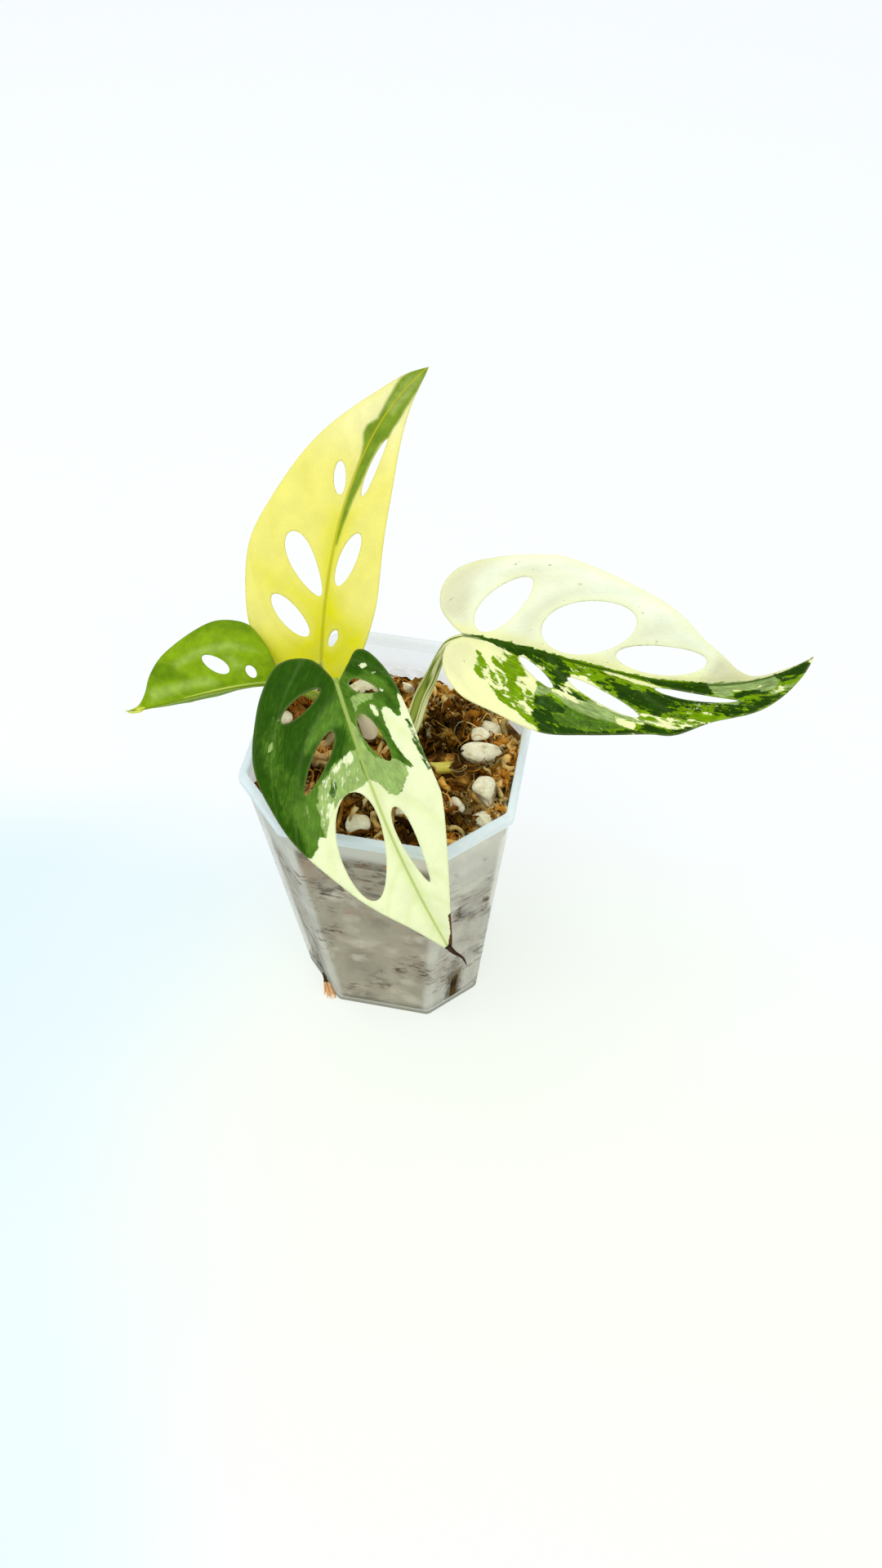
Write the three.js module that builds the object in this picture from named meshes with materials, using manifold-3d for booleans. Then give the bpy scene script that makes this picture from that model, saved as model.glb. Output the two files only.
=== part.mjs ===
// A young variegated swiss cheese vine in an eight-sided clear nursery pot.
// Millimetres, +Z up, origin at the centre of the pot's underside, -Y towards the front.
import * as THREE from "three";
import { mergeVertices } from "three/addons/utils/BufferGeometryUtils.js";
import Module from "manifold-3d";

const wasm = await Module();
wasm.setup();

// Driving sizes
const GAP = 0.3; // between pieces that touch
const POT = {
  height: 107,
  wall: 0.9,
  floor: 1.2,
  base: { half: 28.5, corner: 13.5 }, // half width across the flats, length cut off each corner
  top: { half: 37.5, corner: 15.5 },
  lip: { height: 3, out: 0.8, in: 0.5 },
  slot: { width: 3, low: 3, high: 20 },
  drain: { radius: 2.5, ring: 17, count: 4 },
};
const MIX = { edge: 90, crown: 7, ringPoints: 48, rings: 11, strands: 38, seed: 11 };
const LEAF = { thickness: 0.7, marginStep: 2.8, longestEdge: 6 };

// Small helpers
const vec = (p) => new THREE.Vector3(...p);
const flat = (p) => new THREE.Vector2(...p);
const mix = THREE.MathUtils.lerp;
const radians = THREE.MathUtils.degToRad;

function seededRandom(seed) {
  let state = seed;
  return () => {
    state = (state * 1664525 + 1013904223) % 4294967296;
    return state / 4294967296;
  };
}

// Turning a closed geometry into a solid, and a solid back into a geometry
function solidOf(geometry) {
  const bare = geometry.index ? geometry.toNonIndexed() : geometry.clone();
  bare.deleteAttribute("normal");
  bare.deleteAttribute("uv");
  const merged = mergeVertices(bare, 1e-4);
  return new wasm.Manifold(
    new wasm.Mesh({
      numProp: 3,
      vertProperties: merged.getAttribute("position").array,
      triVerts: new Uint32Array(merged.index.array),
    }),
  );
}

function largestBody(solid) {
  return solid.decompose().reduce((a, b) => (b.volume() > a.volume() ? b : a));
}

function meshOf(name, solid, color, roughness) {
  const mesh = largestBody(solid).getMesh();
  const geometry = new THREE.BufferGeometry();
  geometry.setAttribute("position", new THREE.BufferAttribute(mesh.vertProperties, mesh.numProp));
  geometry.setIndex(new THREE.BufferAttribute(mesh.triVerts, 1));
  geometry.computeVertexNormals();
  const material = new THREE.MeshStandardMaterial({ color, roughness, metalness: 0 });
  const made = new THREE.Mesh(geometry, material);
  made.name = name;
  return made;
}

function indexedGeometry(points, triangles) {
  const geometry = new THREE.BufferGeometry().setFromPoints(points);
  geometry.setIndex(triangles.flat());
  return geometry;
}

// A closed solid through rings of points, each ring counter-clockwise seen from above, lowest first
function loft(rings) {
  const count = rings[0].length;
  const points = rings.flat();
  const triangles = [];
  for (let r = 0; r + 1 < rings.length; r++)
    for (let i = 0; i < count; i++) {
      const a = r * count + i;
      const b = r * count + ((i + 1) % count);
      triangles.push([a, b, b + count], [a, b + count, a + count]);
    }
  const middle = (ring) => ring.reduce((s, p) => s.add(p), new THREE.Vector3()).divideScalar(count);
  const low = points.push(middle(rings[0])) - 1;
  const high = points.push(middle(rings.at(-1))) - 1;
  const top = (rings.length - 1) * count;
  for (let i = 0; i < count; i++) {
    const j = (i + 1) % count;
    triangles.push([low, j, i], [high, top + i, top + j]);
  }
  return indexedGeometry(points, triangles);
}

// A round bar bent along a smooth path, its radius a function of the share of the way along
function bentBar(path, radiusAt, sides, steps) {
  const curve = new THREE.CatmullRomCurve3(path, false, "centripetal");
  const frames = curve.computeFrenetFrames(steps);
  const bar = new THREE.CylinderGeometry(1, 1, 1, sides, steps);
  const places = bar.getAttribute("position");
  for (let i = 0; i < places.count; i++) {
    const step = Math.round((places.getY(i) + 0.5) * steps);
    const share = step / steps;
    const radius = radiusAt(share);
    const at = curve
      .getPointAt(share)
      .addScaledVector(frames.normals[step], radius * places.getX(i))
      .addScaledVector(frames.binormals[step], -radius * places.getZ(i));
    places.setXYZ(i, at.x, at.y, at.z);
  }
  return solidOf(bar);
}

// The pot: an eight-sided tapered cup with a lip, slots low in its corners and drain holes
function octagon(half, corner, z) {
  const near = half - corner;
  const corners = [
    [near, -half],
    [half, -near],
    [half, near],
    [near, half],
    [-near, half],
    [-half, near],
    [-half, -near],
    [-near, -half],
  ];
  return corners.map(([x, y]) => new THREE.Vector3(x, y, z));
}

function potRing(z, inset) {
  const share = z / POT.height;
  const half = mix(POT.base.half, POT.top.half - POT.lip.out, share) - inset;
  const corner = mix(POT.base.corner, POT.top.corner, share) - inset * (2 - Math.SQRT2);
  return octagon(half, corner, z);
}

function potCup() {
  const lipLow = POT.height - POT.lip.height;
  const lipRing = (z) => octagon(POT.top.half, POT.top.corner, z);
  const wallTop = potRing(POT.height - 0.01, 0);
  const outside = solidOf(loft([potRing(0, 0), wallTop]));
  const lip = solidOf(loft([lipRing(lipLow), lipRing(POT.height)]));
  const deep = potRing(POT.floor, POT.wall);
  const lipInset = POT.wall + POT.lip.in;
  const underLip = potRing(lipLow - 1, POT.wall);
  const over = potRing(POT.height + 2, lipInset);
  const inside = solidOf(loft([deep, underLip, potRing(lipLow, lipInset), over]));
  return outside.add(lip).subtract(inside).subtract(cornerSlots()).subtract(drainHoles());
}

function cornerSlots() {
  const { width, low, high } = POT.slot;
  const slot = new THREE.Shape();
  slot.moveTo(-width / 2, low);
  slot.lineTo(width / 2, low);
  slot.lineTo(width / 2, high - width / 2);
  slot.absarc(0, high - width / 2, width / 2, 0, Math.PI, false);
  const cut = new THREE.ExtrudeGeometry(slot, { depth: 20, bevelEnabled: false, curveSegments: 5 });
  cut.rotateX(Math.PI / 2);
  cut.translate(0, -POT.base.half + 10, 0);
  const corners = [0, 1, 2, 3].map((k) => solidOf(cut.clone().rotateZ(Math.PI / 4 + (k * Math.PI) / 2)));
  return corners.reduce((a, b) => a.add(b));
}

function drainHoles() {
  const { radius, ring, count } = POT.drain;
  const holes = [];
  for (let k = 0; k < count; k++) {
    const hole = new THREE.CylinderGeometry(radius, radius, 4 * POT.floor, 20);
    hole.rotateX(Math.PI / 2);
    hole.translate(0, ring, 0);
    holes.push(solidOf(hole.rotateZ((k * 2 * Math.PI) / count)));
  }
  return holes.reduce((a, b) => a.add(b));
}

// The growing mix: a mound of moss with strands standing out of it
function mixHeight(x, y) {
  const out = Math.min(1, Math.hypot(x, y) / POT.top.half);
  const mound = MIX.crown * (1 - out ** 2.5);
  const swells = 1.1 * Math.sin(0.42 * x + 1.3) * Math.sin(0.38 * y + 0.4);
  const lumps = 0.6 * Math.sin(0.95 * x - 0.6 * y) + 0.5 * Math.sin(0.5 * x + 1.15 * y + 2);
  return MIX.edge + mound + swells + lumps;
}

function mixOutline(z, share) {
  const inset = POT.wall + GAP;
  const corners = potRing(z, inset);
  const perSide = MIX.ringPoints / corners.length;
  const points = [];
  for (let i = 0; i < MIX.ringPoints; i++) {
    const side = Math.floor(i / perSide);
    const from = corners[side];
    const to = corners[(side + 1) % corners.length];
    points.push(from.clone().lerp(to, (i % perSide) / perSide).multiply(new THREE.Vector3(share, share, 1)));
  }
  return points;
}

function mossMound() {
  const rings = [mixOutline(POT.floor + GAP, 1)];
  const rim = mixOutline(MIX.edge, 1);
  rings.push(rim);
  for (let k = MIX.rings - 1; k > 0; k--) {
    const ring = mixOutline(MIX.edge, k / MIX.rings);
    ring.forEach((p) => p.setZ(mixHeight(p.x, p.y)));
    rings.push(ring);
  }
  return solidOf(loft(rings));
}

function mossStrands() {
  const random = seededRandom(MIX.seed);
  const strands = [];
  for (let k = 0; k < MIX.strands; k++) {
    const reach = 29 * Math.sqrt(random());
    const around = 2 * Math.PI * random();
    const heading = 2 * Math.PI * random();
    const length = 6 + 7 * random();
    const radius = 0.5 + 0.35 * random();
    const lift = 0.3 + 1.2 * random();
    const x = reach * Math.cos(around);
    const y = reach * Math.sin(around);
    const bend = 2.5 * (random() - 0.5);
    const path = [-1, -0.4, 0.35, 1].map((s) => {
      const px = x + (s * length * Math.cos(heading)) / 2 - bend * s * s * Math.sin(heading);
      const py = y + (s * length * Math.sin(heading)) / 2 + bend * s * s * Math.cos(heading);
      const rise = Math.abs(s) === 1 ? -1.6 : lift;
      return new THREE.Vector3(px, py, mixHeight(px, py) + rise);
    });
    const clear = (p) => Math.max(Math.abs(p.x), Math.abs(p.y)) < 33 && Math.hypot(p.x, p.y) < 34;
    const inside = path.every(clear);
    if (inside) strands.push(bentBar(path, () => radius, 4, 5));
  }
  return strands;
}

// Perlite chunks: [x, y, length, width, height, turn in degrees], half sunk in the mix
const CHUNKS = [
  [24.2, 7.4, 12, 6, 4.6, 8],
  [27, -5.2, 7, 8.5, 5.5, 35],
  [20.7, -11.7, 4.6, 3.4, 3, -20],
  [28.2, -14, 5, 4.4, 4, 10],
  [22.6, 13.3, 4.8, 4.2, 3.6, 30],
  [24.8, 18.9, 6.6, 5.2, 4, -30],
  [-4.5, -23.5, 6.8, 6.4, 5.4, 15],
  [6.5, -18.5, 5, 4.2, 3.8, 60],
  [-2.1, 27, 5.4, 4.2, 4, 20],
  [9.1, 30.6, 3.8, 3.2, 3, 0],
  [-20, -14, 6.4, 5, 4.6, 70],
  [-27, 2, 5.2, 4.4, 4, 10],
  [-18, 22, 7, 5, 4.4, -35],
  [14, 24, 3.6, 3, 2.8, 45],
];

function chunkSolid([x, y, long, wide, high, turn], number, grow) {
  const lump = new THREE.IcosahedronGeometry(1, 1);
  const places = lump.getAttribute("position");
  const half = new THREE.Vector3(long, wide, high).multiplyScalar(0.5);
  for (let i = 0; i < places.count; i++) {
    const p = new THREE.Vector3().fromBufferAttribute(places, i).normalize();
    const swells = Math.sin(3.1 * p.x + number) * Math.sin(2.7 * p.y + 2 * number);
    const facets = swells + Math.sin(3.7 * p.z - number);
    const out = 1 + 0.13 * facets;
    const along = new THREE.Vector3().copy(p).multiply(half).multiplyScalar(out);
    along.addScaledVector(p, grow);
    places.setXYZ(i, along.x, along.y, along.z);
  }
  lump.rotateZ(radians(turn));
  lump.translate(x, y, mixHeight(x, y) + 0.12 * high);
  return solidOf(lump);
}

// The vine: a creeping stem with joints, a cut end on the moss, and roots down in the mix
const STEM = {
  path: [
    [14.6, -0.9, 96.5],
    [9.5, 1.6, 96.2],
    [4, 4.3, 96.6],
    [-2, 5, 97.8],
    [-8, 5.5, 102.6],
    [-10.8, 5, 109],
  ],
  radius: 2.3,
  joints: [0.3, 0.56, 0.8],
  jointSwell: 0.4,
};
const ROOTS = [
  [[4, 4.5, 95.5], [7, 3, 84], [11, -2, 66], [10, -6, 45]],
  [[2, 5, 95.5], [-2, 9, 80], [-8, 14, 62], [-6, 15, 38]],
  [[-3, 6, 98], [-8, 2, 84], [-12, -8, 68], [-16, -10, 52]],
  [[5, 4, 95.5], [3, -2, 80], [-1, -12, 60], [2, -16, 40]],
];

function vineStem(grow) {
  const swell = (share) => {
    const near = STEM.joints.map((joint) => Math.exp(-(((share - joint) / 0.035) ** 2)));
    return STEM.jointSwell * Math.max(...near);
  };
  const radiusAt = (share) => STEM.radius * mix(1, 0.85, share) + swell(share) + grow;
  const stem = bentBar(STEM.path.map(vec), radiusAt, 10, 30);
  return ROOTS.reduce((whole, root) => {
    const rootRadius = (share) => mix(1.1, 0.5, share) + grow;
    return whole.add(bentBar(root.map(vec), rootRadius, 5, 8));
  }, stem);
}

// The mound with its strands, and a socket for each chunk, for the stem and its roots
function growingMix() {
  const heaped = mossStrands().reduce((whole, strand) => whole.add(strand), mossMound());
  const sockets = CHUNKS.map((chunk, i) => chunkSolid(chunk, i + 1, GAP));
  return [...sockets, vineStem(GAP)].reduce((whole, piece) => whole.subtract(piece), heaped);
}

// Leaves. The midrib is a cubic curve. Each half of the blade folds up from it by an angle and curls
// on across its width. An edge or hole point is [distance along the midrib, distance across it].
// A hole is an egg: [along, across, half length, half width, turn in degrees, taper].
const LEAVES = {
  leaf_upright: {
    color: "#e9e583",
    midrib: [[-21.5, 10.5, 120], [-24.5, 32, 141.5], [-22, 59.5, 161.5], [-6.5, 87, 164]],
    facing: [[0.1, -0.6, 0.8], [0.1, -0.6, 0.8]],
    left: { fold: [12, 5], curl: -0.01 },
    right: { fold: [38, 28], curl: -0.015 },
    leftEdge: [
      [0, 0], [-3.5, 3.5], [-4.3, 8], [-2, 12.5], [4.5, 18], [14, 21.5], [28, 22.8],
      [41, 19.5], [58, 13.5], [75, 6.3], [86, 2.8], [92.7, 0],
    ],
    rightEdge: [
      [0, 0], [-4.5, -2.2], [-6.5, -6], [-3, -10.3], [4, -14], [15, -16.6], [28, -16],
      [44, -14.2], [60, -10.7], [78, -5.2], [87, -2.3], [92.7, 0],
    ],
    holes: [
      [11.9, 9.2, 7.1, 2.6, 48, 0],
      [25.4, 7, 9.2, 3.2, 36, -0.3],
      [28.4, -5.4, 7.6, 3, -15, 0],
      [6.8, -3.9, 2.5, 1.5, -28, 0],
      [49.9, 3.6, 4.6, 1.6, 18, 0],
      [55.5, -4.9, 9.2, 1.4, 0, 0.2],
    ],
    petiole: [[-11.2, 5, 109.9], [-13, 5.8, 112.6], [-17.2, 7.4, 116.2]],
    stalk: [1.8, 1.2],
  },
  leaf_front: {
    color: "#7f9b4d",
    midrib: [[-11.5, -8, 133], [4, -36.5, 127.5], [10, -45.5, 119.5], [27.5, -56.5, 93]],
    facing: [[0.05, -0.5, 0.8], [0.1, -0.7, 0.7]],
    left: { fold: [32, 20], curl: -0.02 },
    right: { fold: [5, 12], curl: -0.018 },
    leftEdge: [
      [0, 0], [-2.6, 5], [-4.3, 8.6], [-1.8, 12], [5, 15], [13, 16], [25, 16.2], [34, 16.6],
      [41, 15.8], [57, 10.5], [72.7, 3.1], [77.4, 0],
    ],
    rightEdge: [
      [0, 0], [-4, -1.8], [-7.8, -4.8], [-9.7, -11], [-8.2, -16.2], [-1.8, -22.9], [8, -27],
      [21, -27.2], [36, -23.2], [56, -14], [69, -5.2], [77.4, 0],
    ],
    holes: [
      [1.6, -10.7, 6.3, 1.9, -73, -0.2],
      [17.2, -10.6, 8.8, 2, -41, 0.2],
      [4, 7, 4.4, 1.4, 52, 0.2],
      [16.8, 5.3, 7.8, 2.3, 17, 0.2],
      [43, -7.7, 15.3, 5.8, -10, 0.1],
      [47.8, 4, 11.5, 2.2, 1, 0.4],
    ],
    petiole: [[-6.5, 1.6, 103.6], [-7.6, 0, 112], [-10.6, -2, 122], [-13, -4.8, 130.4]],
    stalk: [1.9, 1.2],
  },
  leaf_right: {
    color: "#c9d3a0",
    midrib: [[18.5, 8.5, 140], [46.5, 8.5, 139], [84, -2, 131.5], [106, 17, 141]],
    facing: [[0, -0.2, 1], [0, -0.1, 1]],
    left: { fold: [35, 60], curl: 0 },
    right: { fold: [18, 20], curl: -0.025 },
    leftEdge: [
      [0, 0], [-4.2, 2.4], [-8, 6.3], [-8.3, 11.8], [-4.7, 16.8], [4, 20.9], [14, 24],
      [21, 25], [33, 23.6], [47, 20], [54, 16.5], [59.5, 12.2], [65.3, 8], [70, 3.6], [74.5, 1.4],
      [83, 0.9], [90.8, 0],
    ],
    rightEdge: [
      [0, 0], [-3.2, -2.8], [-4.6, -7.5], [-2.8, -13.4], [3, -18.5], [13, -21.1], [25.5, -23],
      [36, -21], [48, -17.6], [54, -16.8], [62, -12.6], [73, -10], [84, -4.4], [90.8, 0],
    ],
    holes: [
      [8.2, 10, 9.3, 4, 55, 0.2],
      [30, 9.6, 11.8, 6.6, 23, 0.08],
      [49.5, 5.4, 11.6, 3.7, 4, 0],
      [20.4, -6.8, 6.2, 1.5, -36, 0],
      [37, -9.6, 9.6, 2, -22, 0],
      [58.5, -4.7, 10, 1.4, -9, 0.3],
    ],
    petiole: [
      [1, 4.9, 100.8], [2.4, 5.1, 102.4], [4.2, 6.8, 104.8], [6.5, 10.6, 113], [8.9, 11.7, 119.5],
      [12.2, 10.9, 130], [15, 8.9, 136.6],
    ],
    stalk: [2.1, 1.2],
  },
  leaf_left: {
    color: "#9db53f",
    midrib: [[-30.5, 1.5, 119], [-43.5, -5.5, 124.5], [-59.5, -9, 115], [-72.5, -9.5, 111]],
    facing: [[0, -1, 0.3], [0, -1, 0.3]],
    left: { fold: [-57, -57], curl: -0.008 },
    right: { fold: [-35, -35], curl: -0.008 },
    leftEdge: [
      [0, 0], [-1, 3], [0.5, 6.4], [5, 9.4], [12, 11.6], [19, 11.6], [27, 8.8], [34, 4.2],
      [39, 1.4], [45.5, 0],
    ],
    rightEdge: [
      [0, 0], [1, -3], [2.5, -8], [4.2, -12], [6.8, -16.3], [10.5, -18.3], [15.2, -19.1],
      [20.5, -18.1], [26.6, -15.8], [32.3, -12.6], [36.2, -8.4], [38.4, -4], [41, -1.2], [45.5, 0],
    ],
    holes: [
      [16.6, -7.4, 4.3, 1.8, -42, 0.1],
      [7.7, -3.8, 1.9, 1.2, -62, 0],
    ],
    petiole: [[-13.1, 5.5, 104.5], [-15.4, 5.5, 106], [-19, 5, 110.6], [-25.5, 3.2, 116]],
    stalk: [1.6, 1.1],
  },
};

// A point of a leaf's surface, lifted off it along the blade's normal
function surfaceOf(leaf) {
  const curve = new THREE.CubicBezierCurve3(...leaf.midrib.map(vec));
  const length = curve.getLength();
  const [faceFrom, faceTo] = leaf.facing.map(vec);
  const at = (along, across, lift) => {
    const share = along / length;
    const held = THREE.MathUtils.clamp(share, 0, 1);
    const speed = bezierSpeed(leaf.midrib.map(vec), held);
    const rib = curve.getPoint(held).addScaledVector(speed, share - held);
    const tangent = speed.clone().normalize();
    const up = faceFrom.clone().lerp(faceTo, held);
    up.addScaledVector(tangent, -up.dot(tangent)).normalize();
    const side = up.clone().cross(tangent);
    const { fold, curl } = across > 0 ? leaf.left : leaf.right;
    const angle = radians(mix(fold[0], fold[1], held));
    const bend = curl || 1e-6;
    const out = Math.abs(across);
    const turned = angle + bend * out;
    const reach = (Math.sin(turned) - Math.sin(angle)) / bend;
    const rise = (Math.cos(angle) - Math.cos(turned)) / bend;
    const sign = Math.sign(across);
    const place = rib.addScaledVector(side, sign * reach).addScaledVector(up, rise);
    return place
      .addScaledVector(side, -sign * lift * Math.sin(turned))
      .addScaledVector(up, lift * (across === 0 ? 1 : Math.cos(turned)));
  };
  return { at, length };
}

function bezierSpeed([a, b, c, d], t) {
  const s = 1 - t;
  return new THREE.Vector3()
    .addScaledVector(b.clone().sub(a), 3 * s * s)
    .addScaledVector(c.clone().sub(b), 6 * s * t)
    .addScaledVector(d.clone().sub(c), 3 * t * t);
}

// One half of a blade laid flat: its margin, closed along the midrib, and its holes
function eggOutline([along, across, long, wide, turn, taper]) {
  const points = Math.max(10, Math.round((4 * (long + wide)) / LEAF.marginStep));
  const outline = [];
  for (let i = 0; i < points; i++) {
    const angle = (2 * Math.PI * i) / points;
    const narrowing = 1 - taper * Math.cos(angle);
    const p = new THREE.Vector2(long * Math.cos(angle), wide * narrowing * Math.sin(angle));
    p.rotateAround(new THREE.Vector2(), radians(turn));
    outline.push(p.add(new THREE.Vector2(along, across)));
  }
  return outline;
}

function halfBlade(edge, sign, leaf, length) {
  const curve = new THREE.SplineCurve(edge.map(flat));
  const margin = curve.getSpacedPoints(Math.round(curve.getLength() / LEAF.marginStep));
  margin[0].set(0, 0);
  margin.at(-1).set(length, 0);
  const ribSteps = Math.round(length / 3.5);
  const rib = [];
  for (let i = 1; i < ribSteps; i++) rib.push(new THREE.Vector2(length * (1 - i / ribSteps), 0));
  const outline = [...margin, ...rib];
  if (THREE.ShapeUtils.isClockWise(outline)) outline.reverse();
  const holes = leaf.holes.filter((hole) => Math.sign(hole[1]) === sign).map(eggOutline);
  return flatTriangles(outline, holes);
}

// Triangles over a flat outline with holes, split until no inner edge is long, then made even
function flatTriangles(outline, holes) {
  const points = [...outline, ...holes.flat()];
  let triangles = THREE.ShapeUtils.triangulateShape(outline, holes);
  triangles = evenTriangles(points, triangles);
  for (;;) {
    const split = splitLongEdges(points, triangles);
    if (split.length === triangles.length) return { points, triangles };
    triangles = evenTriangles(points, split);
  }
}

function innerEdges(triangles) {
  const seen = new Map();
  const inner = [];
  triangles.forEach((triangle, index) =>
    triangle.forEach((from, corner) => {
      const to = triangle[(corner + 1) % 3];
      const key = Math.min(from, to) + "_" + Math.max(from, to);
      const other = seen.get(key);
      const apex = triangle[(corner + 2) % 3];
      if (other) inner.push({ from, to, near: index, far: other.index, apex, top: other.apex });
      else seen.set(key, { index, apex: triangle[(corner + 2) % 3] });
    }),
  );
  return inner;
}

function splitLongEdges(points, triangles) {
  const length = (edge) => points[edge.from].distanceTo(points[edge.to]);
  const long = innerEdges(triangles).filter((edge) => length(edge) > LEAF.longestEdge);
  long.sort((a, b) => length(b) - length(a));
  const touched = new Set();
  const added = [];
  for (const { from, to, near, far, apex, top } of long) {
    if (touched.has(near) || touched.has(far)) continue;
    touched.add(near).add(far);
    const middle = points.push(points[from].clone().lerp(points[to], 0.5)) - 1;
    added.push([from, middle, apex], [middle, to, apex], [to, middle, top], [middle, from, top]);
  }
  return triangles.filter((_, index) => !touched.has(index)).concat(added);
}

function turnArea(a, b, c) {
  return (b.x - a.x) * (c.y - a.y) - (b.y - a.y) * (c.x - a.x);
}

function evenTriangles(points, triangles) {
  const angleAt = (apex, a, b) => {
    const toA = points[a].clone().sub(points[apex]);
    const toB = points[b].clone().sub(points[apex]);
    return Math.abs(Math.atan2(toA.cross(toB), toA.dot(toB)));
  };
  const even = triangles.map((t) => [...t]);
  for (let round = 0; round < 60; round++) {
    const touched = new Set();
    for (const { from, to, near, far, apex, top } of innerEdges(even)) {
      if (touched.has(near) || touched.has(far)) continue;
      if (angleAt(apex, from, to) + angleAt(top, from, to) <= Math.PI + 1e-6) continue;
      const opens = turnArea(points[apex], points[from], points[top]) > 1e-6;
      const closes = turnArea(points[top], points[to], points[apex]) > 1e-6;
      if (!opens || !closes) continue;
      even[near] = [apex, from, top];
      even[far] = [top, to, apex];
      touched.add(near).add(far);
    }
    if (!touched.size) return even;
  }
  return even;
}

// The whole blade: both halves share the points of the midrib, and both faces the same triangles
function bladeSolid(leaf, surface) {
  const halves = [
    halfBlade(leaf.leftEdge, 1, leaf, surface.length),
    halfBlade(leaf.rightEdge, -1, leaf, surface.length),
  ];
  const number = new Map();
  const places = [];
  const triangles = [];
  for (const { points, triangles: own } of halves) {
    const global = points.map((p) => {
      const key = p.x.toFixed(5) + "_" + p.y.toFixed(5);
      if (!number.has(key)) number.set(key, places.push(p) - 1);
      return number.get(key);
    });
    for (const [a, b, c] of own) {
      const facingUp = turnArea(points[a], points[b], points[c]) > 0;
      triangles.push(facingUp ? [global[a], global[b], global[c]] : [global[a], global[c], global[b]]);
    }
  }
  const half = LEAF.thickness / 2;
  const count = places.length;
  const points = [
    ...places.map((p) => surface.at(p.x, p.y, half)),
    ...places.map((p) => surface.at(p.x, p.y, -half)),
  ];
  const directed = new Set(triangles.flatMap(([a, b, c]) => [a + "_" + b, b + "_" + c, c + "_" + a]));
  const faces = [];
  for (const [a, b, c] of triangles) {
    faces.push([a, b, c], [c + count, b + count, a + count]);
    for (const [from, to] of [[a, b], [b, c], [c, a]])
      if (!directed.has(to + "_" + from))
        faces.push([from, from + count, to + count], [from, to + count, to]);
  }
  return solidOf(indexedGeometry(points, faces));
}

// The petiole runs on under the blade as its midrib
function stalkSolid(leaf, surface) {
  const ribSteps = 12;
  const [foot, neck] = leaf.stalk;
  const ribRadius = (share) => mix(neck * 0.9, 0.4, share);
  const path = leaf.petiole.map(vec);
  for (let i = 0; i <= ribSteps; i++) {
    const share = mix(0.01, 0.965, i / ribSteps);
    path.push(surface.at(share * surface.length, 0, 0.2 - ribRadius(share)));
  }
  const bare = new THREE.CatmullRomCurve3(path, false, "centripetal").getLength();
  const petioleShare = 1 - (0.955 * surface.length) / bare;
  const radiusAt = (share) => {
    if (share < petioleShare) return mix(foot, neck, share / petioleShare);
    return ribRadius((share - petioleShare) / (1 - petioleShare));
  };
  return bentBar(path, radiusAt, 8, Math.round(bare / 3));
}

// The assembly
const root = new THREE.Group();
root.name = "potted_vine";

root.add(meshOf("pot", potCup(), "#c9cfd2", 0.35));
root.add(meshOf("growing_mix", growingMix(), "#7a4d22", 0.95));
CHUNKS.forEach((chunk, i) => {
  const solid = chunkSolid(chunk, i + 1, 0);
  root.add(meshOf("perlite_" + (i + 1), solid, "#e6e1d3", 0.9));
});
root.add(meshOf("vine_stem", vineStem(0), "#a9b04c", 0.6));
for (const [name, leaf] of Object.entries(LEAVES)) {
  const surface = surfaceOf(leaf);
  const whole = bladeSolid(leaf, surface).add(stalkSolid(leaf, surface));
  root.add(meshOf(name, whole, leaf.color, 0.45));
}

export default root;
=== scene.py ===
import math

import bpy
import numpy as np
from mathutils.geometry import delaunay_2d_cdt
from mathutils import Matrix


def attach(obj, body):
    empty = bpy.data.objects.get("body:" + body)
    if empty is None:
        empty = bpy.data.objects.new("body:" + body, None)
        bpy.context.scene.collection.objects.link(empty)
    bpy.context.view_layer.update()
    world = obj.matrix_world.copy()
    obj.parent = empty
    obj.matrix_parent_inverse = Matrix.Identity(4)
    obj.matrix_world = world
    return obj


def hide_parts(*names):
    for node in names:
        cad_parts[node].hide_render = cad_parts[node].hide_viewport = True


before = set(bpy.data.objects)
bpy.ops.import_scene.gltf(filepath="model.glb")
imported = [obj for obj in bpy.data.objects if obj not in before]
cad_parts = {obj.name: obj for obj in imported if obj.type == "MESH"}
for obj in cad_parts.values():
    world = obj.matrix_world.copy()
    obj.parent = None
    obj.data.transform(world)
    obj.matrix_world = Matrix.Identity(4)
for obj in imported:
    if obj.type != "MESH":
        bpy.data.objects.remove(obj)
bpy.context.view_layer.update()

# Driving sizes
METRE = 0.001  # metres in a millimetre
POT_HEIGHT = 107
POT_WALL = 0.9
POT_FLOOR = 1.2
POT_BASE = (28.5, 13.5)  # half width across the flats, length cut off each corner
POT_TOP = (37.5, 15.5)
LIP_OUT = 0.8  # how far the lip stands out and in beyond the wall
LIP_IN = 0.5
SLOT_HALF = 1.5  # half width of the slot low in each cut corner
SLOT_LOW = 3
SLOT_HIGH = 20
SLOT_ROUND = 0.44  # how far the slot's upper corners move in and down
DRAIN_RING = 17  # from the floor's middle to the middle of each drain hole
DRAIN_RADIUS = 2.5
GAP = 0.3  # between the mix and the inner wall
MIX_EDGE = 90  # height of the mix at the wall
MIX_CROWN = 7  # rise of its mound
MOSS_TOP = 106  # no strand stands higher
STRAND_ROOM = (34.6, 13.6)  # half width and cut corner of the room that strands keep to
SCRAP_ROOM = (33.8, 13.6)
CRUMB_ROOM = (33, 14)
BLADE_THICKNESS = 0.46
LATTICE = 0.5  # spacing of the points inside a blade
MARGIN_STEP = 0.5  # spacing of the points along its margin and its holes


# Small helpers
def unit(vectors):
    """Each vector divided by its length."""
    return vectors / np.linalg.norm(vectors, axis=-1, keepdims=True)


def mix(a, b, share):
    """The straight line from a to b."""
    return a + (b - a) * share


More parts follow.
